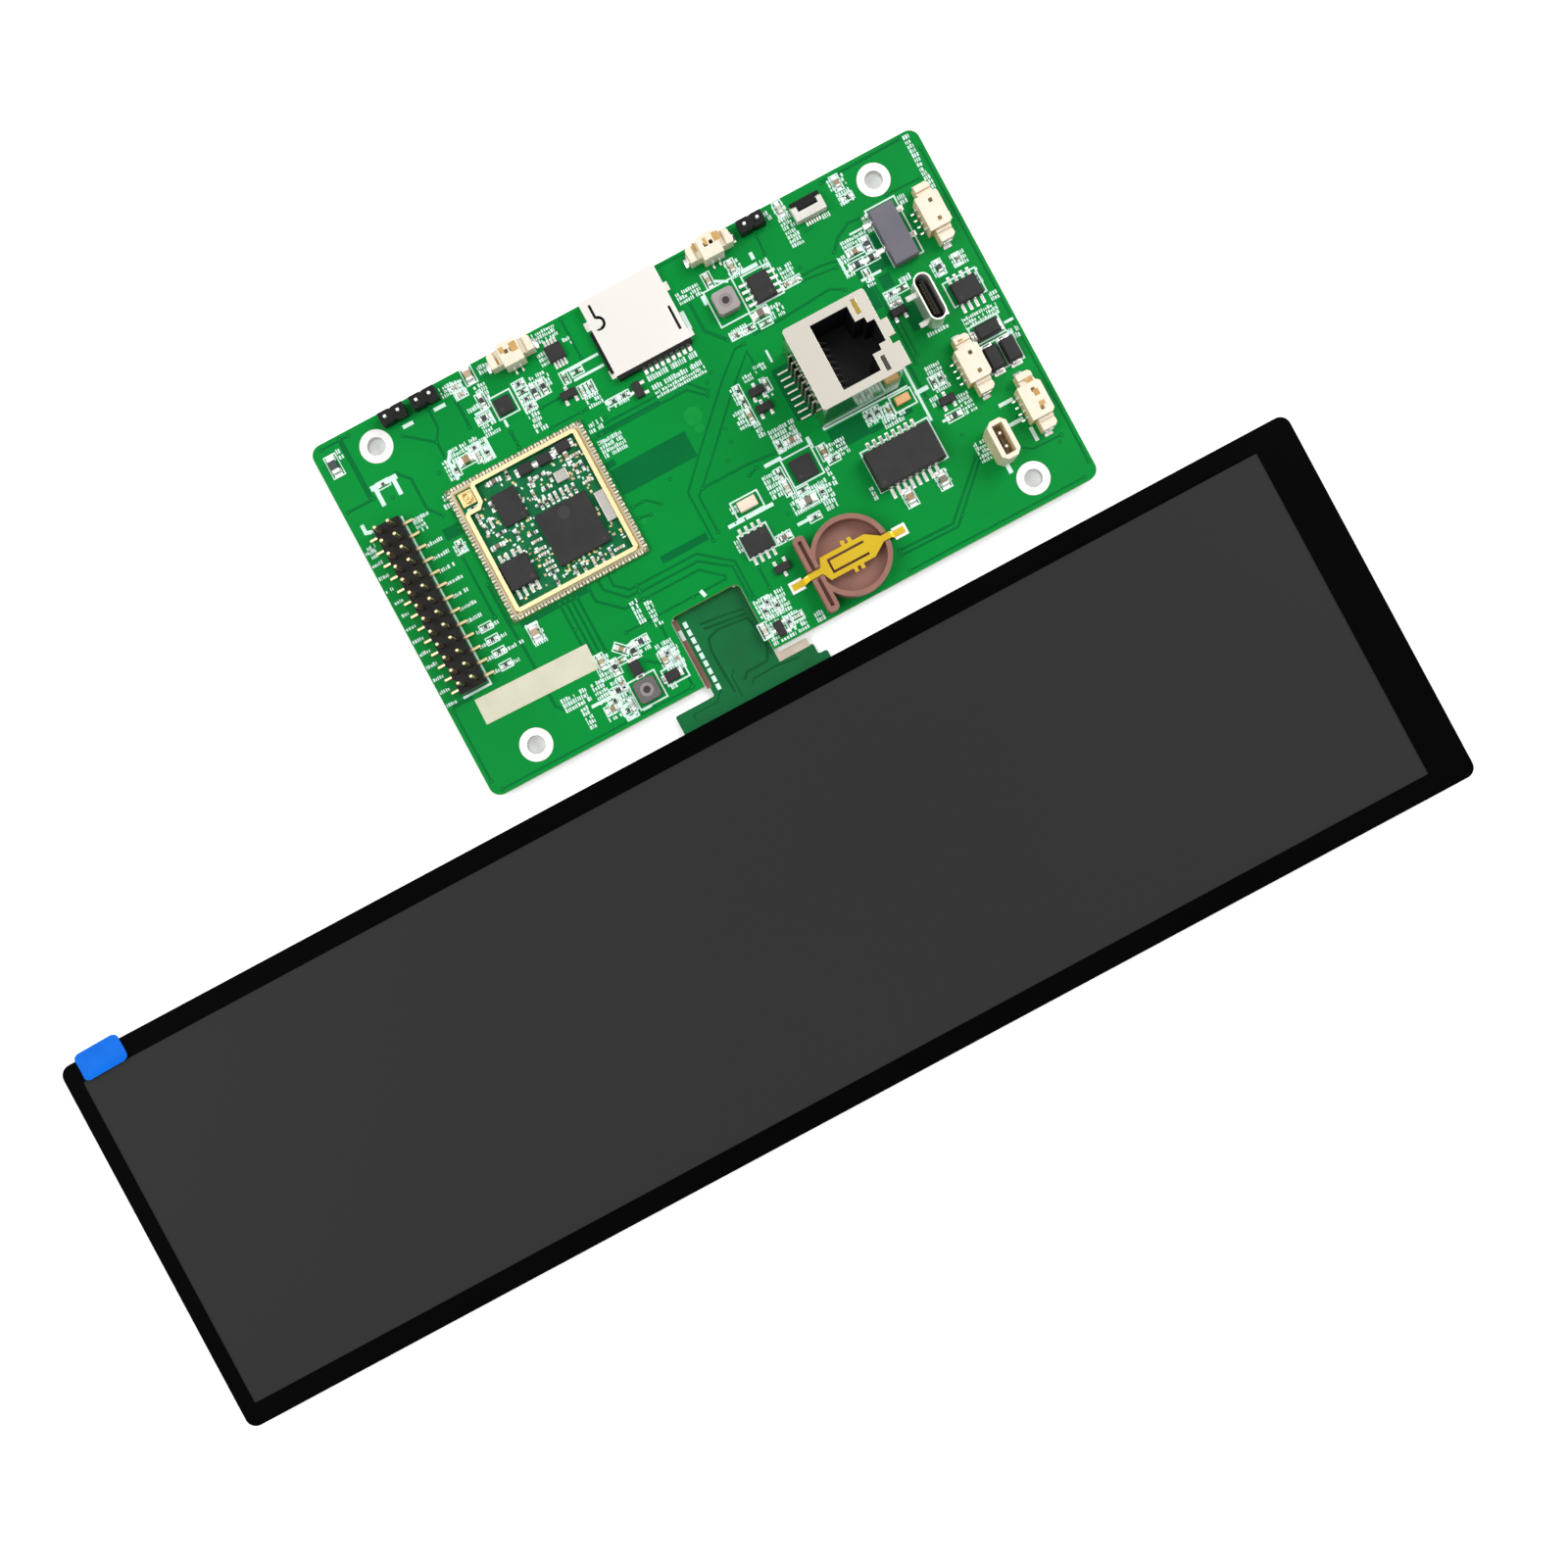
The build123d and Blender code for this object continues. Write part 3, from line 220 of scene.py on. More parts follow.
# Makes a material from a look: colours, roughness from low to high, grain, and what else the surface has
def makeFinish(name, look):
    look = {**plainFinish, **look}
    material = bpy.data.materials.new(name)
    material.use_nodes = True
    tree = material.node_tree
    shader = tree.nodes["Principled BSDF"]
    low, high = look["roughness"]
    shade = look.get("shade", [part * look["shadeShare"] for part in look["colour"]])
    mottle = groupNode(tree, "mottle", {
        "Colour": rgba(look["colour"]), "Shade": rgba(shade), "Patch Scale": look["patches"],
        "Grain Scale": look["grain"], "Smoothest": low, "Roughest": high})
    colour, height = mottle.outputs["Colour"], mottle.outputs["Height"]
    if "edge" in look:
        colour = edgeColour(tree, colour, look["edge"])
    if "lines" in look:
        brushing = groupNode(tree, "brushing", {"Line Scale": look["lines"], "Stretch": lineStretch})
        height = brushing.outputs["Height"]
    if "weave" in look:
        height = groupNode(tree, "weave", {"Thread Scale": look["weave"]}).outputs["Height"]
    bump = tree.nodes.new("ShaderNodeBump")
    bump.inputs["Strength"].default_value = look["bump"]
    bump.inputs["Distance"].default_value = look["depth"] * mm
    for output, socket in ((colour, shader.inputs["Base Color"]),
                           (mottle.outputs["Roughness"], shader.inputs["Roughness"]),
                           (height, bump.inputs["Height"]),
                           (bump.outputs["Normal"], shader.inputs["Normal"])):
        tree.links.new(output, socket)
    for socket, key in (("Metallic", "metallic"), ("Specular IOR Level", "specular"), ("Coat Weight", "coat"),
                        ("Coat Roughness", "coatRoughness"), ("Transmission Weight", "transmission"),
                        ("Subsurface Weight", "subsurface")):
        shader.inputs[socket].default_value = look[key]
    shader.inputs["Subsurface Radius"].default_value = scatterReach
    shader.inputs["Subsurface Scale"].default_value = 1.0
    return material


# Mesh helpers

# A CAD node's mesh with its split corners joined
def joinedMesh(node):
    shape = bmesh.new()
    shape.from_mesh(cadNodes[node].data)
    bmesh.ops.remove_doubles(shape, verts=shape.verts, dist=weldDistance)
    return shape


# The same with each flat as one face, so that its edges can be rounded
def weldedMesh(node):
    shape = joinedMesh(node)
    bmesh.ops.dissolve_limit(shape, angle_limit=flatAngle, verts=shape.verts, edges=shape.edges)
    return shape


# The separate solids of a CAD node, each as its list of corner points
def solidsOf(node):
    shape = joinedMesh(node)
    shape.verts.index_update()
    seen, solids = set(), []
    for start in shape.verts:
        if start.index in seen:
            continue
        seen.add(start.index)
        stack, points = [start], []
        while stack:
            vert = stack.pop()
            points.append(vert.co.copy())
            for edge in vert.link_edges:
                other = edge.other_vert(vert)
                if other.index not in seen:
                    seen.add(other.index)
                    stack.append(other)
        solids.append(points)
    shape.free()
    solids.sort(key=lambda points: tuple(round(value, 5) for value in sum(points, Vector()) / len(points)))
    return solids


# The upright box round a solid: its centre, its length, width and height, and how far it is turned
def boxAround(points):
    base = min(point.z for point in points)
    top = max(point.z for point in points)
    floor = [point for point in points if point.z < base + sameLevel]
    centre = sum(floor, Vector()) / len(floor)
    best = None
    for point in floor:
        for other in floor:
            if (other - point).length > sameLevel:
                turn = math.atan2(other.y - point.y, other.x - point.x)
                along = Matrix.Rotation(-turn, 3, "Z")
                spots = [along @ spot for spot in floor]
                size = [max(s[i] for s in spots) - min(s[i] for s in spots) for i in (0, 1)]
                if best is None or size[0] * size[1] < best[0] - 1e-12:
                    best = (size[0] * size[1], size, turn)
    size, turn = best[1], best[2]
    if size[1] > size[0]:
        size, turn = [size[1], size[0]], turn + math.pi / 2
    return Vector((centre.x, centre.y, base)), Vector((size[0], size[1], top - base)), turn


blockProfile = 0.6


# Adds a block with rounded edges to a mesh: its base centre, its size, how far it is turned
def addBlock(shape, base, size, turn=0.0, rounding=0.0, slot=0, segments=1):
    place = Matrix.Translation(base + Vector((0, 0, size.z / 2))) @ Matrix.Rotation(turn, 4, "Z") \
        @ Matrix.Diagonal((size.x, size.y, size.z, 1))
    made = bmesh.ops.create_cube(shape, size=1.0, matrix=place)
    faces = list(dict.fromkeys(face for vert in made["verts"] for face in vert.link_faces))
    if rounding:
        edges = list(dict.fromkeys(edge for vert in made["verts"] for edge in vert.link_edges))
        rounded = bmesh.ops.bevel(shape, geom=edges, offset=rounding, segments=segments,
                                  profile=blockProfile, affect="EDGES", clamp_overlap=True)
        faces = [face for face in faces if face.is_valid] + list(rounded["faces"])
    for face in faces:
        face.material_index = slot


sharpestMitre = 0.3  # where a ribbon turns more sharply than this, its corner is cut short
# Flat marks that cross each other lie at slightly different heights over their base, in millimetres
layers = {"trace": 0.01, "print": 0.05, "pad": 0.09, "step": 0.0006, "steps": 60}
markCount = 0


def layer(name):
    global markCount
    markCount += 1
    return layers[name] + layers["step"] * (markCount % layers["steps"])


# Adds a flat ribbon along a path of points at one height
def addRibbon(shape, path, width, slot=0, closed=False):
    left, right = [], []
    last = len(path) - 1
    for index, point in enumerate(path):
        runs = []
        if index or closed:
            runs.append((point - path[index - 1]).normalized())
        if index < last or closed:
            runs.append((path[(index + 1) % len(path)] - point).normalized())
        across = [Vector((-run.y, run.x, 0)) for run in runs]
        mitre = sum(across, Vector()) / len(across)
        mitre = mitre / max(mitre.length_squared, sharpestMitre)
        left.append(shape.verts.new(point + mitre * width / 2))
        right.append(shape.verts.new(point - mitre * width / 2))
    for index in range(len(path) if closed else last):
        after = (index + 1) % len(path)
        face = shape.faces.new((right[index], right[after], left[after], left[index]))
        face.material_index = slot


# Adds a ribbon along places on the board, lifted by the layer and by what lies between it and the board
def addPath(shape, path, width, name, slot=0, closed=False, drop=0.0):
    lift = drop + layer(name)
    addRibbon(shape, [onBoard(x, y, lift) for x, y in path], width * mm, slot, closed)


# Adds a flat rectangle that lies square to the board
def addField(shape, low, high, slot=0):
    corners = [(low.x, low.y), (high.x, low.y), (high.x, high.y), (low.x, high.y)]
    shape.faces.new([shape.verts.new((x, y, low.z)) for x, y in corners]).material_index = slot


# Adds a closed sheet of even thickness under a grid of points
def addSheet(shape, grid, thickness):
    drop = Vector((0, 0, thickness))
    upper = [[shape.verts.new(point) for point in line] for line in grid]
    lower = [[shape.verts.new(point - drop) for point in line] for line in grid]
    rows, columns = len(grid), len(grid[0])
    for row in range(rows - 1):
        for column in range(columns - 1):
            spots = ((row, column), (row, column + 1), (row + 1, column + 1), (row + 1, column))
            shape.faces.new([upper[r][c] for r, c in spots])
            shape.faces.new([lower[r][c] for r, c in reversed(spots)])
    rim = [(0, c) for c in range(columns)] + [(r, columns - 1) for r in range(1, rows)]
    rim += [(rows - 1, c) for c in range(columns - 2, -1, -1)] + [(r, 0) for r in range(rows - 2, 0, -1)]
    for (r, c), (nextR, nextC) in zip(rim, rim[1:] + rim[:1]):
        shape.faces.new((upper[nextR][nextC], upper[r][c], lower[r][c], lower[nextR][nextC]))


# Adds a circle of corners, and faces between two such circles
def addLoop(shape, centre, radius, sides, faceDown=False):
    whole = -math.tau if faceDown else math.tau
    return [shape.verts.new(centre + Vector((math.cos(a), math.sin(a), 0)) * radius)
            for a in (whole * i / sides for i in range(sides))]


def joinLoops(shape, upper, lower, slot=0):
    for i in range(len(upper)):
        j = (i + 1) % len(upper)
        shape.faces.new((upper[i], upper[j], lower[j], lower[i])).material_index = slot


# Adds a flat disc, or a ring when it has an inner radius
def addDisc(shape, centre, radius, inner=0.0, sides=24, slot=0, faceDown=False):
    outer = addLoop(shape, centre, radius, sides, faceDown)
    if inner:
        joinLoops(shape, outer, addLoop(shape, centre, inner, sides, faceDown), slot)
    else:
        shape.faces.new(outer).material_index = slot


# Turns a finished mesh into a piece that rides on a body and takes its finish from a slot
def linkPiece(name, mesh, materials, body="module", replaces=()):
    for material in materials:
        mesh.materials.append(material)
    piece = bpy.data.objects.new(name, mesh)
    bpy.context.scene.collection.objects.link(piece)
    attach(piece, body)
    if replaces:
        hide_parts(*replaces)
    return piece


def makePiece(name, shape, materials, body="module", replaces=(), smoothAngle=40):
    mesh = bpy.data.meshes.new(name)
    if smoothAngle:
        bmesh.ops.recalc_face_normals(shape, faces=shape.faces)
    shape.to_mesh(mesh)
    shape.free()
    if smoothAngle:
        mesh.shade_smooth()
        mesh.set_sharp_from_angle(angle=math.radians(smoothAngle))
    return linkPiece(name, mesh, materials, body, replaces)


flatWeight = 70  # how strongly large flats hold their normals


# A CAD node again with its sharp edges rounded, standing for that node
def roundedCopy(node, width, material, body="module", segments=2, angle=35, inside=None):
    shape = weldedMesh(node)
    draft = bpy.data.meshes.new("draft")
    shape.to_mesh(draft)
    shape.free()
    draft.shade_smooth()
    worker = bpy.data.objects.new("draft", draft)
    bpy.context.scene.collection.objects.link(worker)
    bevel = worker.modifiers.new("edges", "BEVEL")
    bevel.width = width * mm
    bevel.segments = segments
    bevel.limit_method = "ANGLE"
    bevel.angle_limit = math.radians(angle)
    bevel.use_clamp_overlap = True
    bevel.miter_outer = "MITER_ARC"
    # large flats keep their own normals and only the rounded edges turn
    flats = worker.modifiers.new("flats", "WEIGHTED_NORMAL")
    flats.weight = flatWeight
    rounded = worker.evaluated_get(bpy.context.evaluated_depsgraph_get())
    mesh = bpy.data.meshes.new_from_object(rounded)
    mesh.name = node + "_finished"
    bpy.data.objects.remove(worker)
    bpy.data.meshes.remove(draft)
    mesh.materials.clear()
    # a cavity's faces get the inside finish, a painted shade
    if inside:
        shadeCavityFaces(mesh)
    return linkPiece(mesh.name, mesh, [material] + ([inside] if inside else []), body, (node,))


# Rounds several nodes, each with its width, its material and how many steps its edges take
def roundNodes(rows):
    for node, width, material, segments in rows:
        roundedCopy(node, width, material, segments=segments)


# Gives one more finish to the faces that pass a test
def splitFinish(piece, material, test):
    piece.data.materials.append(material)
    for face in piece.data.polygons:
        if test(face):
            face.material_index = len(piece.data.materials) - 1


# Faces that look at another part of the same moulding close by belong to its cavity, and take the second
# finish: painted golden-brown shade in the recess
def shadeCavityFaces(mesh):
    draft = bmesh.new()
    draft.from_mesh(mesh)
    tree = BVHTree.FromBMesh(draft)
    for face, polygon in zip(draft.faces, mesh.polygons):
        start = face.calc_center_median() + face.normal * skinLift * mm
        spot = tree.ray_cast(start, face.normal, cavityReach * mm)[0]
        polygon.material_index = 1 if spot is not None else 0
    draft.free()


def paintNode(node, material):
    cadNodes[node].data.materials.clear()
    cadNodes[node].data.materials.append(material)


# Display panel

panelLook = {
    "bezel": {"colour": (0.0008, 0.0008, 0.0009), "shade": (0.0013, 0.0013, 0.0014), "roughness": (0.42, 0.5),
              "specular": 0.012, "bump": 0.08, "patches": 60.0},
    "film": {"colour": (0.028, 0.028, 0.0282), "shade": (0.0288, 0.0288, 0.029), "roughness": (0.38, 0.42),
             "specular": 0.04, "bump": 0.03, "patches": 12.0, "grain": 9000.0},
    "tray": {"colour": (0.62, 0.63, 0.64), "metallic": 1.0, "roughness": (0.36, 0.5), "lines": 700.0,
             "bump": 0.12},
    "frame": {"colour": (0.78, 0.78, 0.76), "roughness": (0.5, 0.6)},
    "reflector": {"colour": (0.86, 0.86, 0.86), "roughness": (0.3, 0.4)},
    "guide": {"colour": (0.84, 0.88, 0.87), "roughness": (0.05, 0.12), "transmission": 0.8},
    "diffuser": {"colour": (0.88, 0.88, 0.88), "roughness": (0.7, 0.8)},
    "prisms": {"colour": (0.8, 0.82, 0.85), "roughness": (0.2, 0.3), "lines": 2600.0, "bump": 0.4},
    "flex": {"colour": (0.68, 0.34, 0.06), "roughness": (0.35, 0.45)},
    "lamps": {"colour": (0.85, 0.78, 0.42), "roughness": (0.3, 0.4)},
    "rearFilm": {"colour": (0.05, 0.055, 0.05), "roughness": (0.2, 0.25)},
    "glass": {"colour": (0.5, 0.55, 0.53), "roughness": (0.02, 0.04), "transmission": 0.6},
    "driver": {"colour": (0.05, 0.05, 0.06), "roughness": (0.08, 0.14), "metallic": 0.4},
    "tab": {"colour": (0.002, 0.16, 0.76), "shade": (0.002, 0.135, 0.68), "roughness": (0.3, 0.42),
            "specular": 0.06, "patches": 260.0, "bump": 0.1},
    "tabLift": 0.45, "tabCorner": 0.9, "tabColumns": 24, "tabRows": 14, "tabHinge": 0.55, "tabBend": 0.2,
    "ripple": 0.06, "rippleStart": 0.3, "rippleTurns": 3.5, "ripplePhase": 0.6, "tabShare": 0.9,
}


def buildPanel():
    look = panelLook
    roundedCopy("front_bezel", 0.14, makeFinish("blackBezelPaint", look["bezel"]))
    for node, name, key in (
            ("front_polariser", "darkScreenFilm", "film"), ("rear_tray", "rolledTray", "tray"),
            ("middle_frame", "whiteFrame", "frame"), ("reflector_sheet", "mirrorSheet", "reflector"),
            ("light_guide", "clearGuide", "guide"), ("diffuser_sheet", "milkySheet", "diffuser"),
            ("prism_sheet", "prismSheet", "prisms"), ("backlight_strip", "amberFlex", "flex"),
            ("backlight_leds", "lampPhosphor", "lamps"), ("rear_polariser", "rearFilm", "rearFilm"),
            ("rear_glass", "rearGlass", "glass"), ("front_glass", "frontGlass", "glass"),
            ("driver_chip", "polishedSilicon", "driver")):
        paintNode(node, makeFinish(name, look[key]))
    buildTab()
    print("panel dressed")


# The blue tab for pulling off the film over the screen: a thin strip that lifts a little where it overhangs
def buildTab():
    look = panelLook
    base, size, turn = boxAround(solidsOf("pull_tab")[0])
    along = Matrix.Rotation(turn, 4, "Z")
    corner = look["tabCorner"] * mm
    grid = []
    for row in range(look["tabRows"] + 1):
        across = row / look["tabRows"]
        lift = look["tabLift"] * max(0.0, across - look["tabHinge"]) ** 2 / look["tabBend"]
        y = (across - 0.5) * size.y
        # the free corners are round
        inset = max(0.0, corner - min(size.y / 2 - y, size.y / 2 + y))
        half = size.x / 2 - corner + math.sqrt(corner ** 2 - inset ** 2)
        line = []
        for column in range(look["tabColumns"] + 1):
            share = column / look["tabColumns"] * 2 - 1
            wave = math.sin(share * look["rippleTurns"] + look["ripplePhase"])
            ripple = look["ripple"] * wave * max(0.0, across - look["rippleStart"])
            line.append(base + along @ Vector((share * half, y, (lift + ripple) * mm + size.z)))
        grid.append(line)
    shape = bmesh.new()
    addSheet(shape, grid, size.z * look["tabShare"])
    makePiece("pull_tab_film", shape, [makeFinish("blueTabFilm", look["tab"])],
              replaces=("pull_tab",), smoothAngle=50)


# Circuit board, its traces and its print

boardLook = {
    "mask": {"colour": (0.0, 0.262, 0.038), "shade": (0.0, 0.228, 0.034), "roughness": (0.34, 0.42),
             "patches": 45.0, "weave": 1100.0, "bump": 0.05, "edge": (0.42, 0.5, 0.2), "specular": 0.07},
    "trace": {"colour": (0.0, 0.145, 0.03), "shade": (0.0, 0.165, 0.032), "roughness": (0.36, 0.44),
              "specular": 0.06},
    # this darker green also colours the dark fields, which are partly painted shadow
    "deepTraceAndShadow": {"colour": (0.0, 0.13, 0.032), "shade": (0.0, 0.15, 0.034), "roughness": (0.36, 0.44),
                  "specular": 0.06},
    "ink": {"colour": (0.74, 0.9, 0.84), "shade": (0.6, 0.84, 0.75), "roughness": (0.55, 0.65),
            "patches": 900.0, "specular": 0.2},
    "tin": {"colour": (0.86, 0.86, 0.84), "shade": (0.7, 0.71, 0.7), "metallic": 0.85,
            "roughness": (0.22, 0.4), "patches": 900.0, "bump": 0.25, "depth": 0.03},
    "ring": {"colour": (0.7, 0.68, 0.67), "shade": (0.6, 0.58, 0.57), "metallic": 0.7,
             "roughness": (0.3, 0.45), "patches": 700.0, "bump": 0.2},
    "paper": {"colour": (0.66, 0.64, 0.49), "shade": (0.6, 0.59, 0.44), "roughness": (0.5, 0.6),
              "patches": 300.0},
    "shine": {"colour": (0.01, 0.29, 0.048), "shade": (0.002, 0.262, 0.04), "roughness": (0.36, 0.44),
              "specular": 0.06, "patches": 500.0},
    "holes": [(11, 5), (111, 5), (11, 65), (111, 65)], "holeRoom": 4.0, "notch": (41.6, 56.7, 14.1),
    "bore": 1.58, "ringRadius": 3.05, "ringLip": 0.03, "boreLip": 0.06, "ringSink": 0.05, "ringSides": 64,
    "via": 0.4, "viaSeed": 17, "smallVia": 0.36, "viaHole": 0.18, "viaSides": 14, "viaCount": 90,
    "viaArea": (2, 119, 2, 68),
}
tinFinish = makeFinish("solderTin", boardLook["tin"])
inkFinish = makeFinish("whiteInk", boardLook["ink"])

# Gaps between the board's copper areas, each a width and a path, in millimetres from its lower left corner
traceRuns = [
    # nested lines between the core board and the notch
    (0.45, [(40.0, 21.4), (52.0, 21.4), (57.4, 17.0), (57.4, 9.6)]),
    (0.45, [(40.0, 20.1), (51.6, 20.1), (56.6, 16.4), (56.6, 10.0)]),
    (0.4, [(40.0, 18.7), (51.0, 18.7), (54.6, 15.6), (54.6, 15.0), (46.0, 15.0), (34.4, 15.0)]),
    (0.5, [(32.3, 25.2), (32.3, 22.4), (36.2, 18.8), (40.0, 18.8)]),
    (0.45, [(34.4, 25.6), (34.4, 23.6), (37.6, 20.4), (40.0, 20.4)]),
    (0.45, [(36.4, 25.8), (36.4, 23.4), (38.6, 21.4), (40.0, 21.4)]),
    # double lines up the board's middle
    (0.4, [(55.8, 22.0), (55.8, 31.6), (60.6, 36.6), (70.4, 46.2), (75.2, 50.2), (77.0, 50.2)]),
    (0.4, [(57.2, 23.0), (57.2, 30.2), (58.6, 31.4), (63.4, 36.0), (71.6, 44.2), (76.8, 48.8), (77.0, 45.6)]),
    (0.5, [(58.4, 31.1), (67.6, 31.1), (72.6, 30.6)]), (0.35, [(66.8, 29.2), (68.6, 29.8)]),
    # right of the core board
    (0.4, [(46.0, 34.0), (48.6, 34.0), (50.6, 32.2)]), (0.4, [(46.0, 31.8), (48.2, 31.4)]),
    (0.45, [(48.6, 49.4), (59.0, 49.4), (64.8, 48.9), (67.4, 46.0)]),
    (0.45, [(47.2, 48.0), (64.2, 47.8), (67.0, 45.2)]), (0.3, [(46.0, 48.0), (46.0, 46.8)]),
    # along the top
    (0.5, [(16.0, 64.4), (20.8, 60.6), (20.8, 57.4)]), (0.4, [(22.2, 66.4), (22.2, 62.8), (20.8, 60.6)]),
    (0.5, [(27.2, 65.2), (27.2, 60.2)]), (0.9, [(5.8, 69.2), (5.8, 57.4)]), (0.5, [(1.0, 57.0), (6.2, 57.0)]),
    (0.4, [(7.4, 69.0), (2.0, 69.0)]), (0.5, [(11.8, 59.2), (13.7, 57.0), (13.7, 51.0), (15.6, 48.6)]),
    (0.5, [(33.2, 56.0), (33.2, 52.8)]), (0.4, [(40.0, 57.2), (46.4, 57.2)]),
    (0.4, [(50.4, 69.4), (50.4, 61.6)]), (0.4, [(40.0, 53.2), (47.0, 53.2)]),
    (0.7, [(71.9, 61.2), (71.9, 55.6), (74.8, 52.2)]), (0.4, [(70.2, 69.5), (74.6, 69.3), (84.6, 69.3)]),
    (0.5, [(79.6, 50.9), (84.0, 50.9), (95.0, 51.6), (97.4, 50.2)]),
    (0.4, [(91.4, 56.0), (95.4, 56.0), (98.6, 55.4)]), (0.35, [(91.4, 55.2), (97.8, 54.4)]),
    (0.5, [(98.8, 57.0), (100.6, 59.0), (103.4, 60.4), (107.0, 60.0)]), (0.4, [(88.0, 66.0), (87.8, 62.6)]),
    (0.5, [(102.4, 68.9), (118.6, 69.2)]), (0.4, [(111.8, 61.6), (118.4, 61.4)]),
    # round the jack and the right edge
    (0.6, [(101.0, 33.6), (101.0, 26.4)]), (0.5, [(102.3, 50.0), (102.3, 32.8)]),
    (0.4, [(103.2, 34.0), (103.2, 46.0)]), (0.45, [(84.0, 4.9), (94.6, 4.6), (103.8, 13.2)]),
    (0.45, [(84.0, 4.0), (95.2, 3.7), (104.4, 12.6)]), (0.35, [(110.0, 12.0), (113.4, 9.6), (119.0, 9.4)]),
    (0.35, [(2.0, 0.9), (40.0, 0.9)]), (0.35, [(84.0, 0.9), (119.0, 0.9)]),
    (0.35, [(121.0, 3.0), (121.0, 66.0)]), (0.35, [(0.9, 3.0), (0.9, 17.0)]),
    # beside the header and under the sticker
    (0.6, [(16.8, 34.0), (16.8, 27.0), (17.2, 20.0), (17.2, 9.4), (18.2, 8.2)]),
    (0.5, [(15.2, 40.6), (15.2, 28.4)]), (0.45, [(26.4, 25.0), (26.4, 14.0)]),
    (0.45, [(27.5, 25.0), (27.5, 14.4)]), (0.45, [(28.6, 25.0), (28.6, 13.6)]),
    (0.45, [(29.7, 24.6), (29.7, 13.8)]), (0.4, [(40.4, 13.2), (40.4, 1.0)]),
    (0.5, [(60.6, 14.0), (60.6, 10.0)]), (0.5, [(35.0, 9.0), (37.4, 7.2)]),
]
# Dark areas of the mask, partly where the copper under it is cut away or crowded and partly painted shadow
# round the network jack and beside the USB socket: left, lower, right and upper edge
darkCopperAndShadowFields = [
    (45.4, 36.6, 60.4, 41.6), (14.2, 44.2, 17.4, 46.4), (18.6, 24.4, 32.0, 25.4), (46.0, 22.6, 55.2, 24.0),
    (82.6, 25.6, 89.4, 29.6), (89.4, 25.4, 97.8, 26.4), (46.2, 47.6, 59.0, 48.6), (103.4, 46.8, 105.6, 49.4),
    (100.4, 44.4, 101.9, 49.4), (78.9, 33.5, 84.0, 43.7), (82.4, 30.2, 99.0, 33.6),
    (100.4, 50.3, 107.4, 56.6), (104.6, 37.8, 107.6, 42.4), (1.0, 17.4, 5.0, 18.2), (45.2, 42.0, 47.0, 43.2),
]
shineSpots = [(63.0, 43.2, 1.7), (46.6, 30.8, 0.5), (63.0, 40.8, 0.9)]  # bare round pads under the mask


# A plated hole under the mask, which shows on both faces of the board
def addVia(shape, x, y, radius):
    look = boardLook
    thickness = (boardTop - boardLow.z) / mm
    for reach, name, slot in ((radius, "trace", 0), (look["viaHole"], "print", 2)):
        addDisc(shape, onBoard(x, y, layer(name)), reach * mm, slot=slot, sides=look["viaSides"])
        addDisc(shape, onBoard(x, y, -thickness - layer(name)), reach * mm, slot=slot, sides=look["viaSides"],
                faceDown=True)


def buildBoard():
    look = boardLook
    roundedCopy("circuit_board", 0.1, makeFinish("greenMask", look["mask"]), segments=1)
    roundedCopy("sticker", 0.03, makeFinish("blankLabelPaper", look["paper"]), segments=1)
    buildRings(makeFinish("tinnedRings", look["ring"]))
    shape = bmesh.new()
    # dark fields: partly copper under the mask, partly painted shadow round the jack and the USB socket
    for left, low, right, high in darkCopperAndShadowFields:
        lift = layer("trace")
        addField(shape, onBoard(left, low, lift), onBoard(right, high, lift), 1)
    for width, path in traceRuns:
        addPath(shape, path, width, "trace")
        for x, y in (path[0], path[-1]):
            addVia(shape, x, y, look["via"])
    for x, y, radius in shineSpots:
        addDisc(shape, onBoard(x, y, layer("trace")), radius * mm, slot=2)
    rng = random.Random(look["viaSeed"])
    areaLeft, areaRight, areaLow, areaHigh = look["viaArea"]
    left, right, top = look["notch"]
    for index in range(look["viaCount"]):
        x, y = rng.uniform(areaLeft, areaRight), rng.uniform(areaLow, areaHigh)
        nearHole = any(math.hypot(x - holeX, y - holeY) < look["holeRoom"] for holeX, holeY in look["holes"])
        if not nearHole and not (left < x < right and y < top):
            addVia(shape, x, y, look["smallVia"])
    makePiece("board_traces", shape, [makeFinish("maskOverGap", look["trace"]),
                                      makeFinish("maskOverBusAndShadow", look["deepTraceAndShadow"]),
                                      makeFinish("maskOverPad", look["shine"])],
                                      smoothAngle=0)
    print("board dressed")


# Round tinned rings on both faces, joined through each hole by a tinned barrel
def buildRings(finish):
    look = boardLook
    shape = bmesh.new()
    outer, bore = look["ringRadius"] * mm, look["bore"] * mm
    lip, boreLip, sink = look["ringLip"] * mm, look["boreLip"] * mm, look["ringSink"] * mm
    low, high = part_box("mounting_rings")
    spots = {(round(p.x, 5), round(p.y, 5)) for p in (
        sum(points, Vector()) / len(points) for points in solidsOf("mounting_rings"))}
    profile = [(outer, boardTop), (outer - lip, high.z), (bore + boreLip, high.z), (bore, boardTop - sink),
               (bore, boardLow.z + sink), (bore + boreLip, low.z), (outer - lip, low.z), (outer, boardLow.z)]
    for x, y in sorted(spots):
        loops = [addLoop(shape, Vector((x, y, z)), radius, look["ringSides"]) for radius, z in profile]
        for upper, lower in zip(loops, loops[1:]):
            joinLoops(shape, upper, lower)
    makePiece("plated_rings", shape, [finish], replaces=("mounting_rings",), smoothAngle=30)


# Printed marks: outlines of footprints, pin marks and blocks of short bars where the real board has print

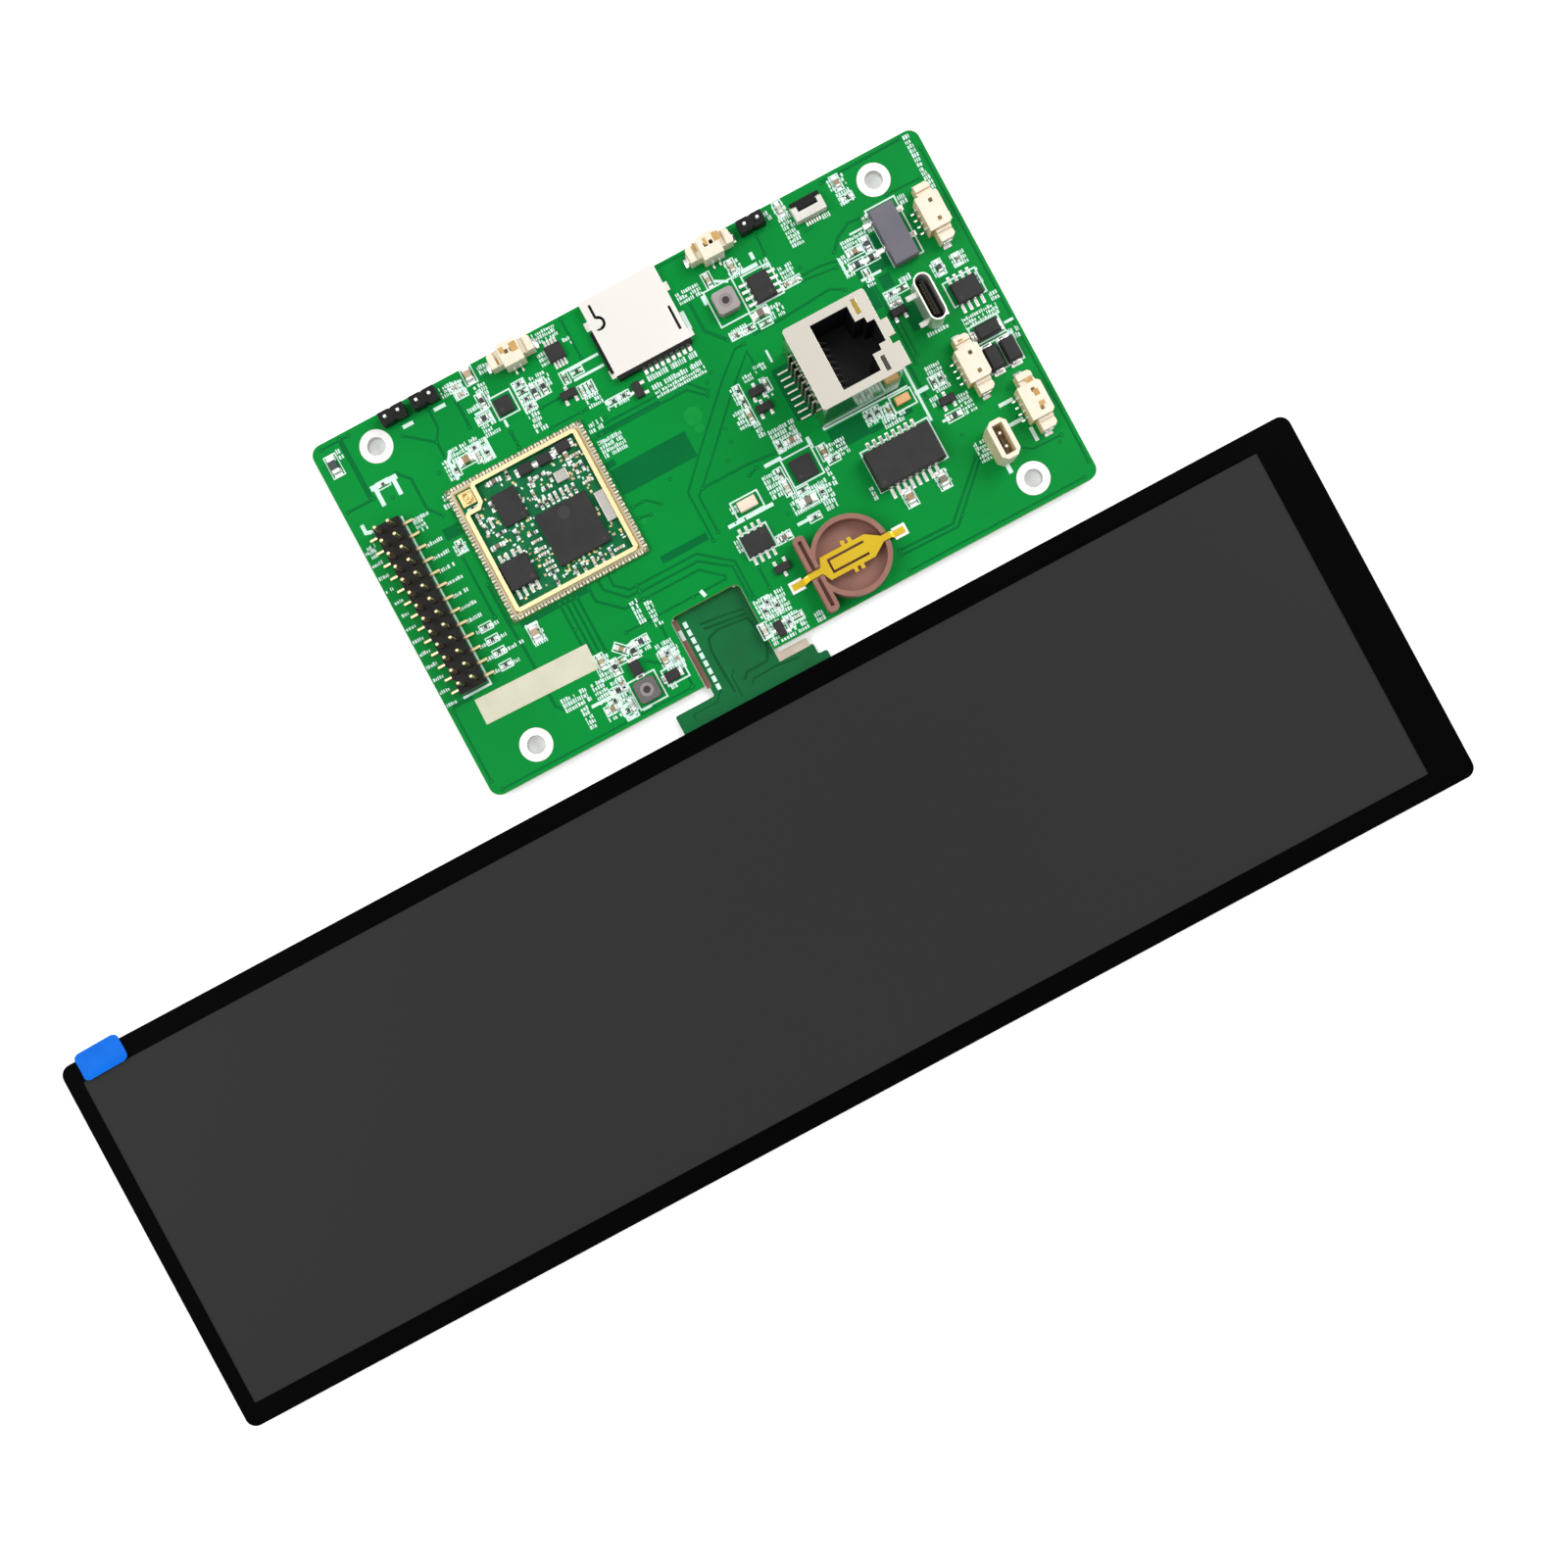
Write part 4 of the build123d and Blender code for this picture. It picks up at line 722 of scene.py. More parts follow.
inkLook = {
    "seed": 7, "barHeight": 0.68, "barGap": 0.2, "gapShares": (0.6, 1.0, 1.6), "shortest": 0.16,
    "longest": 0.42, "space": (0.1, 0.2), "filled": 0.92, "frameLine": 0.22, "frameGap": 0.42,
    "frameStretch": 1.6, "edgeRoom": 0.2, "footprintLine": 0.3, "circle": (28.4, 2.4, 1.35, 0.85),
    # the dashes beside the long header's pins, with each row's reach from the first row up
    "pinRows": 13, "firstRow": 19.9, "pinPitch": 2.54, "dashLeft": 10.3, "dashReaches": (6.2, 7.4, 5.3, 5.2),
    "dashReach": 3.3, "dashHalf": 0.42, "bareRow": 11, "sideDash": (0.25, -1.7, 2.3, -0.9),
}
# Blocks of print: left, lower, right and upper edge
inkBlocks = [
    (0.9, 47.6, 2.5, 50.2), (10.4, 47.8, 12.3, 50.2), (25.4, 66.8, 28.1, 69.0), (27.6, 65.4, 29.9, 68.8),
    (28.2, 62.3, 31.2, 63.4), (29.0, 57.0, 31.8, 61.2), (37.2, 53.5, 39.5, 58.2), (37.2, 58.4, 39.5, 63.6),
    (19.8, 53.2, 21.4, 57.2), (21.6, 55.9, 27.4, 58.5), (26.3, 53.2, 28.9, 57.6), (14.5, 40.9, 16.9, 43.1),
    (17.0, 50.6, 18.4, 52.0), (16.5, 49.2, 18.0, 50.3), (4.2, 65.9, 5.2, 68.0), (44.4, 67.3, 48.8, 69.6),
    (40.0, 60.0, 43.9, 63.1), (47.5, 52.9, 50.3, 57.1), (50.3, 51.0, 54.6, 53.1), (59.0, 48.9, 69.1, 50.4),
    (59.0, 50.5, 69.1, 51.6), (59.0, 52.2, 69.1, 53.4), (45.8, 43.8, 50.4, 47.3), (45.5, 48.9, 48.7, 50.9),
    (70.3, 61.5, 74.8, 63.9), (75.4, 51.5, 79.2, 53.5), (69.3, 36.9, 71.4, 40.4), (70.8, 41.0, 72.3, 44.5),
    (71.6, 34.1, 72.9, 37.1), (76.4, 44.5, 78.8, 46.1), (76.2, 39.7, 77.5, 43.7), (88.5, 55.1, 91.1, 59.5),
    (92.7, 61.0, 95.0, 69.5), (90.9, 67.4, 91.9, 69.3), (83.6, 51.5, 86.3, 54.1), (86.3, 60.2, 87.8, 62.1),
    (99.5, 63.0, 101.7, 64.1), (103.4, 66.6, 106.6, 68.9), (103.8, 63.5, 106.4, 66.2),
    (119.0, 52.4, 120.2, 69.5), (100.4, 55.0, 105.5, 58.1), (98.6, 51.7, 100.3, 55.9),
    (105.8, 57.0, 107.4, 60.4), (101.2, 48.5, 102.7, 50.7), (112.5, 44.4, 115.1, 47.2),
    (116.3, 44.3, 119.1, 47.0), (113.2, 58.7, 114.7, 60.6), (106.5, 46.4, 108.7, 47.7),
    (106.4, 35.7, 110.5, 36.6), (118.9, 39.9, 119.9, 43.1), (113.0, 33.7, 119.7, 36.0),
    (119.4, 36.1, 121.1, 37.9), (102.9, 42.7, 105.3, 46.7), (18.4, 7.3, 23.5, 10.1), (24.4, 2.3, 26.9, 10.1),
    (20.8, 2.7, 22.3, 7.1), (26.6, 9.1, 29.7, 13.5), (27.6, 4.1, 30.3, 8.7), (34.0, 10.5, 37.1, 13.3),
    (37.3, 15.0, 38.8, 19.7), (39.6, 13.3, 41.1, 18.3), (37.7, 5.3, 40.9, 10.7), (36.4, 2.2, 38.3, 3.4),
    (19.1, 20.3, 21.7, 24.7), (39.8, 4.7, 41.3, 9.1), (60.9, 24.4, 62.3, 25.9), (65.5, 15.7, 68.1, 17.8),
    (58.8, 17.8, 59.7, 20.3), (68.5, 23.3, 71.5, 28.1), (73.3, 30.0, 78.3, 34.7), (79.2, 20.5, 80.2, 24.3),
    (70.8, 18.9, 78.9, 22.7), (76.1, 17.0, 78.5, 19.0), (56.7, 4.8, 62.5, 9.3), (56.5, 0.4, 63.7, 4.6),
    (65.3, 0.4, 66.9, 2.5), (88.8, 11.5, 91.3, 14.3), (95.4, 11.5, 98.1, 14.3), (89.5, 26.7, 94.7, 29.3),
    (92.1, 24.9, 96.5, 26.8), (84.4, 14.7, 85.4, 17.5), (80.3, 24.5, 84.7, 27.7), (103.1, 26.3, 105.9, 31.5),
    (105.7, 20.5, 108.1, 24.5), (101.3, 24.3, 102.8, 26.3), (104.3, 11.5, 106.5, 15.5),
    (119.1, 28.3, 121.2, 30.5), (73.9, 43.9, 75.6, 45.4), (43.6, 63.4, 45.4, 66.0), (48.9, 64.7, 50.2, 66.4),
    (31.0, 63.0, 33.2, 66.4), (33.2, 67.4, 35.2, 69.2), (80.4, 61.2, 83.2, 64.4),
]
# Plain printed lines, each a width and a path
inkLines = [
    (1.0, [(6.5, 58.7), (11.7, 58.7)]), (0.8, [(7.3, 58.2), (7.3, 55.0)]),
    (0.8, [(10.9, 58.2), (10.9, 55.4)]), (0.7, [(2.1, 53.9), (2.1, 52.3), (3.7, 51.8)]),
    (0.7, [(16.7, 65.7), (18.8, 65.7)]), (0.7, [(23.0, 65.8), (25.3, 65.8)]),
    (0.35, [(9.05, 52.0), (9.05, 18.4)]), (0.45, [(3.5, 18.35), (9.2, 18.35)]),
    (0.35, [(82.4, 33.4), (82.4, 30.1), (99.0, 30.0)]), (0.5, [(100.0, 34.2), (99.9, 22.5)]),
    (0.8, [(99.6, 28.1), (102.2, 28.1)]), (0.7, [(59.2, 22.8), (62.4, 22.8)]),
    (0.7, [(62.7, 22.8), (68.2, 22.8)]), (0.7, [(69.9, 29.3), (73.3, 29.3)]),
    (0.7, [(79.0, 30.4), (79.0, 28.2)]), (0.6, [(70.2, 17.4), (74.4, 17.4)]),
    (0.5, [(77.4, 62.6), (79.8, 61.3)]), (0.7, [(114.8, 13.2), (114.8, 10.5)]),
    (0.8, [(108.0, 10.9), (108.0, 7.6)]), (0.7, [(111.6, 19.1), (114.4, 19.1)]),
    (0.7, [(111.6, 15.2), (114.4, 15.2)]), (0.5, [(101.5, 21.4), (104.0, 21.4)]),
    (0.8, [(82.6, 61.6), (85.8, 61.6)]), (0.7, [(85.6, 62.6), (85.6, 64.0)]),
    (0.8, [(74.5, 61.2), (74.5, 59.4)]), (0.5, [(119.4, 31.7), (121.2, 31.7)]),
    (0.6, [(22.8, 6.2), (27.6, 6.2), (27.6, 4.0)]), (0.5, [(30.6, 1.5), (32.3, 1.5)]),
    (0.5, [(33.2, 58.4), (33.2, 57.0)]), (0.5, [(46.2, 60.9), (53.4, 60.9)]),
    (0.5, [(47.4, 58.7), (53.4, 58.7)]), (0.5, [(29.0, 61.6), (31.8, 61.6)]),
    (0.6, [(21.0, 52.9), (21.0, 56.6), (22.2, 58.2)]), (0.6, [(28.6, 53.2), (28.6, 57.4)]),
    (0.4, [(102.6, 58.4), (105.2, 58.4)]), (0.5, [(98.9, 52.0), (98.9, 55.6)]),
    (0.5, [(100.6, 50.2), (104.6, 50.2)]), (0.4, [(79.9, 47.4), (79.9, 45.0)]),
    (0.8, [(69.9, 57.0), (69.9, 60.5)]), (0.7, [(49.55, 15.3), (49.9, 14.0)]),
]
# Printed outlines of footprints: left, lower, right and upper edge
inkFrames = [
    (32.5, 58.7, 36.5, 62.9), (30.3, 1.6, 35.6, 6.9), (72.9, 23.4, 78.8, 28.9), (74.9, 54.6, 80.5, 61.6),
    (82.1, 54.9, 87.6, 60.9), (86.0, 15.4, 99.4, 23.4), (95.0, 26.6, 99.2, 29.6), (61.4, 23.2, 66.7, 26.4),
    (113.0, 38.2, 119.4, 42.9), (113.2, 24.6, 116.7, 29.8), (116.9, 24.6, 119.7, 29.8),
    (113.2, 30.4, 119.0, 33.8), (107.0, 49.6, 112.8, 60.8), (27.4, 1.0, 29.6, 3.8), (59.8, 15.9, 65.4, 20.6),
    (36.6, 3.0, 40.8, 6.0),
]


def fillBlock(shape, rng, left, low, right, high):
    look = inkLook
    count = max(1, round((high - low) / (look["barHeight"] + look["barGap"])))
    pitch = (high - low) / count
    for row in range(count):
        x, y = left, low + row * pitch
        while x < right - look["shortest"]:
            run = min(rng.uniform(look["shortest"], look["longest"]), right - x)
            if rng.random() < look["filled"]:
                lift = layer("print")
                height = pitch - look["barGap"] * rng.choice(look["gapShares"])
                addField(shape, onBoard(x, y, lift), onBoard(x + run, y + height, lift))
            x += run + rng.uniform(*look["space"])


def buildInk():
    look = inkLook
    shape = bmesh.new()
    rng = random.Random(look["seed"])
    for block in inkBlocks:
        fillBlock(shape, rng, *block)
    for width, path in inkLines:
        addPath(shape, path, width, "print")
    for left, low, right, high in inkFrames:
        corners = [(left, low), (right, low), (right, high), (left, high)]
        addPath(shape, corners, look["footprintLine"], "print", closed=True)
    x, y, outer, inner = look["circle"]
    addDisc(shape, onBoard(x, y, layer("print")), outer * mm, inner * mm)
    # dashes on both sides of the long header
    left, low, right, high = look["sideDash"]
    for row in range(look["pinRows"]):
        y = look["firstRow"] + row * look["pinPitch"]
        reach = look["dashReaches"][row] if row < len(look["dashReaches"]) else look["dashReach"]
        if row != look["bareRow"]:
            fillBlock(shape, rng, look["dashLeft"], y - look["dashHalf"], look["dashLeft"] + reach,
                      y + look["dashHalf"])
        fillBlock(shape, rng, left, y + low, right, y + high)
    makePiece("board_print", shape, [inkFinish], smoothAngle=0)
    print("print laid on the board")


# Chip parts: a ceramic body between two tinned ends, on its pads, with small wedges of solder

chipLook = {
    "capacitors": [{"colour": (0.36, 0.23, 0.12), "roughness": (0.4, 0.5)},
                   {"colour": (0.5, 0.37, 0.24), "roughness": (0.4, 0.5)},
                   {"colour": (0.2, 0.16, 0.12), "roughness": (0.4, 0.5)},
                   {"colour": (0.62, 0.55, 0.45), "roughness": (0.4, 0.5)}],
    "resistors": [{"colour": (0.022, 0.02, 0.02), "roughness": (0.2, 0.3)},
                  {"colour": (0.03, 0.035, 0.045), "roughness": (0.2, 0.3)}],
    "capacitorSeed": 3, "resistorSeed": 5, "terminal": 0.22, "rounding": 0.05, "padReach": 0.3,
    "padShift": 0.2, "padRun": 2.4, "padWidth": 1.1,
    # how many cap lengths the body is shorter, its width and height, and how much of its height it is lifted
    "capsHidden": 1.4, "bodyWidth": 0.94, "bodyHeight": 0.96, "bodyLift": 0.02,
    # the solder wedge's half width at the foot and at the top, and how high it climbs
    "wedge": (0.55, 0.42, 0.6), "boardRoom": 0.1,
}


# Moves a mark's corner back onto the board where it would pass the edge
def insideEdge(point):
    room = inkLook["edgeRoom"] * mm
    return Vector((min(max(point.x, boardLow.x + room), boardHigh.x - room),
                   min(max(point.y, boardLow.y + room), boardHigh.y - room), point.z))


# One end of a chip part: the tinned cap, a wedge of solder that climbs it, and the pad below
def addChipEnd(shape, pads, base, size, turn, side):
    look = chipLook
    along = Matrix.Rotation(turn, 3, "Z")
    cap, reach = size.x * look["terminal"], look["padReach"] * mm
    wideShare, narrowShare, riseShare = look["wedge"]
    shift = along @ Vector((side * (size.x - cap) / 2, 0, 0))
    addBlock(shape, base + shift, Vector((cap, size.y, size.z)), turn, look["rounding"] * mm, 0)
    foot = along @ Vector((side * (size.x / 2 + reach), 0, 0))
    head = along @ Vector((side * size.x / 2, 0, 0))
    wide = along @ Vector((0, size.y * wideShare, 0))
    narrow = along @ Vector((0, size.y * narrowShare, 0))
    rise = Vector((0, 0, size.z * riseShare))
    corners = [shape.verts.new(base + spot) for spot in (
        foot - wide, foot + wide, head + wide, head - wide, head - narrow + rise, head + narrow + rise)]
    for face in ((0, 1, 5, 4), (0, 4, 3), (1, 2, 5)):
        shape.faces.new([corners[i] for i in face]).material_index = 0
    pad = along @ Vector((side * (size.x / 2 + reach * look["padShift"]), 0, 0))
    lift = Vector((0, 0, layer("pad") * mm))
    run = along @ Vector(((cap + look["padRun"] * reach) / 2, 0, 0))
    addRibbon(pads, [base + pad - run + lift, base + pad + run + lift], size.y * look["padWidth"], 0)


def buildChipParts(node, finishes, seed):
    look = chipLook
    rng = random.Random(seed)
    shape, pads, frames = bmesh.new(), bmesh.new(), bmesh.new()
    for points in solidsOf(node):
        base, size, turn = boxAround(points)
        along = Matrix.Rotation(turn, 3, "Z")
        kind = rng.randrange(len(finishes))
        body = Vector((size.x - look["capsHidden"] * size.x * look["terminal"], size.y * look["bodyWidth"],
                       size.z * look["bodyHeight"]))
        addBlock(shape, base + Vector((0, 0, size.z * look["bodyLift"])), body, turn, 0.0, 1 + kind)
        for side in (-1, 1):
            addChipEnd(shape, pads, base, size, turn, side)
        if base.z < boardTop + look["boardRoom"] * mm:
            # a printed outline round the part, off its pads
            gap = inkLook["frameGap"] * mm
            half = Vector((size.x / 2 + inkLook["frameStretch"] * gap, size.y / 2 + gap, 0))
            lift = Vector((0, 0, layer("print") * mm))
            outline = [insideEdge(base + lift + along @ Vector((x * half.x, y * half.y, 0)))
                       for x, y in ((-1, -1), (1, -1), (1, 1), (-1, 1))]
            addRibbon(frames, outline, inkLook["frameLine"] * mm, closed=True)
    materials = [tinFinish] + [makeFinish(f"{node}_{index}", kind) for index, kind in enumerate(finishes)]
    makePiece(node + "_finished", shape, materials, replaces=(node,), smoothAngle=40)
    makePiece(node + "_pads", pads, [tinFinish], smoothAngle=0)
    makePiece(node + "_outlines", frames, [inkFinish], smoothAngle=0)


# Moulded packages, their leads and pads

packageLook = {
    "black": {"colour": (0.02, 0.019, 0.019), "shade": (0.028, 0.026, 0.026), "roughness": (0.45, 0.58),
              "patches": 400.0, "grain": 5000.0, "bump": 0.3, "depth": 0.02, "specular": 0.2},
    "mark": {"colour": (0.05, 0.047, 0.045), "roughness": (0.6, 0.7), "specular": 0.2},
    "violet": {"colour": (0.125, 0.12, 0.15), "shade": (0.15, 0.14, 0.17), "roughness": (0.34, 0.44),
               "patches": 180.0, "bump": 0.15, "specular": 0.25},
    "lead": {"colour": (0.84, 0.83, 0.8), "shade": (0.62, 0.61, 0.58), "metallic": 0.9,
             "roughness": (0.2, 0.34), "patches": 1200.0},
    "ferrite": {"colour": (0.085, 0.078, 0.078), "shade": (0.12, 0.11, 0.11), "roughness": (0.5, 0.65),
                "patches": 900.0, "bump": 0.4},
    "paleFerrite": {"colour": (0.38, 0.34, 0.33), "shade": (0.3, 0.27, 0.26), "roughness": (0.4, 0.5)},
    "amber": {"colour": (0.8, 0.44, 0.17), "shade": (0.72, 0.4, 0.17), "roughness": (0.4, 0.5)},
    "cream": {"colour": (0.86, 0.76, 0.66), "shade": (0.8, 0.62, 0.46), "roughness": (0.4, 0.5),
              "patches": 300.0},
    "can": {"colour": (0.5, 0.48, 0.45), "shade": (0.42, 0.4, 0.37), "metallic": 0.9,
            "roughness": (0.2, 0.32), "lines": 900.0},
    "coil": {"colour": (0.3, 0.26, 0.25), "shade": (0.24, 0.2, 0.2), "roughness": (0.5, 0.6)},
    "dimple": 0.38, "dimpleInset": 0.9, "dimpleSides": 20, "markLift": 0.01, "patch": 1.15,
    "patchShift": (-0.1, 3.2), "discSides": 32, "coilOuter": 0.3, "coilInner": 0.16, "underBoard": 0.1,
    # where the other finish of a group begins, in millimetres on the board
    "paleCoilFrom": (60, 50), "creamCaseTo": 80,
    # how far the pads of a node's leads reach past the feet, and what share of that they are wider
    "leadPads": [("package_leads", 0.3, 0.5), ("ribbon_contacts", 0.2, 0.3),
                 ("card_socket_contacts", 0.3, 0.6)],
}


# Pin-one dimples, the processor's round patch and the coils' rings
def buildMarks():
    look = packageLook
    shape = bmesh.new()
    lift = look["markLift"] * mm
    inset = look["dimpleInset"] * mm
    for node in ("processor", "quad_chips", "small_outline_chips", "line_transformer"):
        for points in solidsOf(node):
            base, size, turn = boxAround(points)
            top = base + Vector((0, 0, size.z + lift))
            corner = Matrix.Rotation(turn, 3, "Z") @ Vector((inset - size.x / 2, inset - size.y / 2, 0))
            addDisc(shape, top + corner, look["dimple"] * mm, sides=look["dimpleSides"])
            if node == "processor":
                shift = Vector((*look["patchShift"], 0)) * mm
                addDisc(shape, top + shift, look["patch"] * mm, sides=look["discSides"])
    for points in solidsOf("power_inductors"):
        base, size, turn = boxAround(points)
        top = base + Vector((0, 0, size.z + lift))
        outer, inner = look["coilOuter"] * size.y, look["coilInner"] * size.y
        addDisc(shape, top, outer, inner, sides=look["discSides"], slot=1)
        addDisc(shape, top, inner, sides=look["discSides"])
    finishes = [makeFinish("laserMark", look["mark"]), makeFinish("coilRing", look["coil"])]
    makePiece("package_marks", shape, finishes, smoothAngle=0)


def buildPackages():
    look = packageLook
    black = makeFinish("blackMould", look["black"])
    roundNodes([
        ("processor", 0.12, black, 2), ("quad_chips", 0.1, black, 2), ("small_outline_chips", 0.06, black, 2),
        ("transistor_packages", 0.05, black, 2), ("rectifier_diodes", 0.08, black, 2),
        ("line_transformer", 0.1, black, 2),
        ("oscillator_block", 0.12, makeFinish("violetMould", look["violet"]), 2),
        ("crystals", 0.15, makeFinish("crystalCan", look["can"]), 2),
        ("package_leads", 0.03, makeFinish("tinnedLead", look["lead"]), 1)])
    coils = roundedCopy("power_inductors", 0.1, makeFinish("ferriteBody", look["ferrite"]))
    corner = onBoard(*look["paleCoilFrom"])
    splitFinish(coils, makeFinish("paleFerrite", look["paleFerrite"]),
                lambda face: face.center.x > corner.x and face.center.y > corner.y)
    cases = roundedCopy("tantalum_capacitors", 0.12, makeFinish("amberMould", look["amber"]))
    splitFinish(cases, makeFinish("creamMould", look["cream"]),
                lambda face: face.center.x < onBoard(look["creamCaseTo"], 0).x)
    buildMarks()
    # a tinned pad under each lead's foot
    pads = bmesh.new()
    for node, grow, wider in look["leadPads"]:
        for points in solidsOf(node):
            base, size, turn = boxAround(points)
            if base.z > boardTop - look["underBoard"] * mm:
                half = Matrix.Rotation(turn, 3, "Z") @ Vector((size.x / 2 + grow * mm, 0, 0))
                spot = base + Vector((0, 0, layer("pad") * mm))
                addRibbon(pads, [spot - half, spot + half], size.y + wider * grow * mm)
    makePiece("lead_pads", pads, [tinFinish], smoothAngle=0)
    print("packages dressed")


# Core board with its fence

coreLook = {
    "mask": {"colour": (0.004, 0.12, 0.04), "shade": (0.006, 0.16, 0.05), "roughness": (0.3, 0.4),
             "specular": 0.1, "patches": 300.0, "weave": 1200.0, "bump": 0.06, "edge": (0.3, 0.36, 0.14)},
    "rim": {"colour": (0.56, 0.52, 0.4), "shade": (0.44, 0.4, 0.29), "metallic": 0.4,
            "roughness": (0.35, 0.5), "patches": 900.0},
    "gap": {"colour": (0.09, 0.1, 0.05), "roughness": (0.4, 0.5)},
    "line": {"colour": (0.42, 0.27, 0.09), "shade": (0.5, 0.34, 0.14), "roughness": (0.4, 0.5),
             "metallic": 0.4},
    "pad": {"colour": (0.74, 0.68, 0.53), "shade": (0.6, 0.52, 0.36), "metallic": 0.6,
            "roughness": (0.3, 0.45), "patches": 900.0},
    "rimInset": 0.62, "rimWidth": 0.95, "lineInset": 1.2, "lineWidth": 0.3, "gaps": 42, "gapWidth": 0.2,
    "gapReach": 0.75,
    # fine copper between the chips: every third bit is a bent trace, the others are short pads
    "seed": 23, "bits": 520, "bitRoom": (2.6, 2.4), "bitLength": (0.5, 1.6), "alongShare": 0.5,
    "traceEvery": 3, "traceWidth": 0.16, "traceBend": (0.7, 0.3), "padRun": 0.4, "padWidth": (0.25, 0.5),
    "tan": {"colour": (0.5, 0.36, 0.2), "shade": (0.62, 0.5, 0.34), "roughness": (0.4, 0.5)},
    "gold": {"colour": (0.83, 0.62, 0.28), "shade": (0.72, 0.55, 0.28), "metallic": 0.9,
             "roughness": (0.24, 0.36), "patches": 700.0},
    "fence": {"colour": (0.83, 0.7, 0.4), "shade": (0.76, 0.62, 0.34), "metallic": 0.7,
              "roughness": (0.28, 0.42), "patches": 300.0},
}
goldFinish = makeFinish("goldPlate", coreLook["gold"])


# Tinned rim round the core board, cut by fine dark gaps, and the tan line along the fence
def buildRim(low, high):
    look = coreLook
    rim, gaps, lines = bmesh.new(), bmesh.new(), bmesh.new()
    for inset, width, shape, name in ((look["rimInset"], look["rimWidth"], rim, "trace"),
                                      (look["lineInset"], look["lineWidth"], lines, "print")):
        lift = coreTop + layer(name) * mm
        left, right = low.x + inset * mm, high.x - inset * mm
        front, back = low.y + inset * mm, high.y - inset * mm
        corners = ((left, front), (right, front), (right, back), (left, back))
        addRibbon(shape, [Vector((x, y, lift)) for x, y in corners], width * mm, closed=True)
    half, reach = look["gapWidth"] * mm / 2, look["gapReach"] * mm
    for index in range(look["gaps"]):
        share = (index + 0.5) / look["gaps"]
        x, y = low.x + share * (high.x - low.x), low.y + share * (high.y - low.y)
        for startX, startY in ((low.x, low.y), (high.x - reach, high.y - reach)):
            lift = coreTop + layer("pad") * mm
            addField(gaps, Vector((x - half, startY, lift)), Vector((x + half, startY + reach, lift)))
            addField(gaps, Vector((startX, y - half, lift)), Vector((startX + reach, y + half, lift)))
    for name, shape, finish, slot in (
            ("core_rim", rim, makeFinish("rimTin", look["rim"]), "core_pads"),
            ("core_rim_gaps", gaps, makeFinish("rimGap", look["gap"]), "core_board"),
            ("core_rim_line", lines, makeFinish("rimLine", look["line"]), "core_pads")):
        makePiece(name, shape, [finish], smoothAngle=0)


def buildCore():
    look = coreLook
    roundNodes([
        ("core_board", 0.06, makeFinish("coreMask", look["mask"]), 1),
        ("core_pads", 0.01, makeFinish("rimPad", look["pad"]), 1),
        ("shield_fence", 0.06, makeFinish("fencePlate", look["fence"]), 2),
        ("antenna_socket", 0.05, goldFinish, 2)])
    rng = random.Random(look["seed"])
    low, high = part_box("core_board")
    buildRim(low, high)
    traces, pads = bmesh.new(), bmesh.new()
    roomX, roomY = (room * mm for room in look["bitRoom"])
    straight, aside = look["traceBend"]
    for index in range(look["bits"]):
        x, y = rng.uniform(low.x + roomX, high.x - roomX), rng.uniform(low.y + roomY, high.y - roomY)
        run = rng.uniform(*look["bitLength"]) * mm
        end = Vector((run, 0, 0)) if rng.random() < look["alongShare"] else Vector((0, run, 0))
        spot = Vector((x, y, coreTop + layer("trace") * mm))
        if index % look["traceEvery"] == 0:
            bend = spot + end + Vector((run * aside, run * aside, 0))
            addRibbon(traces, [spot, spot + end * straight, bend], look["traceWidth"] * mm)
        else:
            width = rng.uniform(*look["padWidth"]) * mm
            addRibbon(pads, [spot, spot + end * look["padRun"]], width, slot=rng.randrange(4))
    makePiece("core_traces", traces, [makeFinish("coreGap", boardLook["deepTraceAndShadow"])],
              smoothAngle=0)
    makePiece("core_test_pads", pads, [tinFinish, inkFinish, goldFinish, makeFinish("tanBits", look["tan"])],
              smoothAngle=0)
    print("core board dressed")


# Pin headers

headerLook = {
    "case": {"colour": (0.006, 0.006, 0.006), "shade": (0.011, 0.011, 0.011), "roughness": (0.36, 0.46),
             "patches": 500.0, "bump": 0.2, "specular": 0.14},
    "pin": {"colour": (0.86, 0.7, 0.4), "shade": (0.8, 0.62, 0.34), "metallic": 0.95,
            "roughness": (0.16, 0.28), "patches": 800.0},
    "tinPin": {"colour": (0.88, 0.87, 0.85), "shade": (0.8, 0.79, 0.77), "metallic": 0.8,
               "roughness": (0.3, 0.4), "patches": 800.0},
    # solder under the board, as radii and depths
    "cone": [(0.85, 0.0), (0.6, 0.12), (0.42, 0.45), (0.34, 0.8)], "coneSides": 16,
}
blackMoulding = makeFinish("blackMoulding", headerLook["case"])


def buildHeaders():
    look = headerLook
    roundNodes([
        ("pin_header_housing", 0.1, blackMoulding, 2), ("jumper_housings", 0.1, blackMoulding, 2),
        ("pin_header_pins", 0.16, makeFinish("platedPin", look["pin"]), 1),
        ("through_pins", 0.14, makeFinish("tinnedPin", look["tinPin"]), 1)])
    # under the board each pin stands in a small cone of solder
    shape = bmesh.new()
    for points in solidsOf("through_pins"):
        centre = sum(points, Vector()) / len(points)
        rings = []
        for radius, depth in look["cone"]:
            spot = Vector((centre.x, centre.y, boardLow.z - depth * mm))
            rings.append(addLoop(shape, spot, radius * mm, look["coneSides"]))
        for upper, lower in zip(rings, rings[1:]):
            joinLoops(shape, upper, lower)
        shape.faces.new(rings[0])
        shape.faces.new(rings[-1])
    makePiece("solder_cones", shape, [tinFinish], smoothAngle=60)
    print("headers dressed")


# Sockets

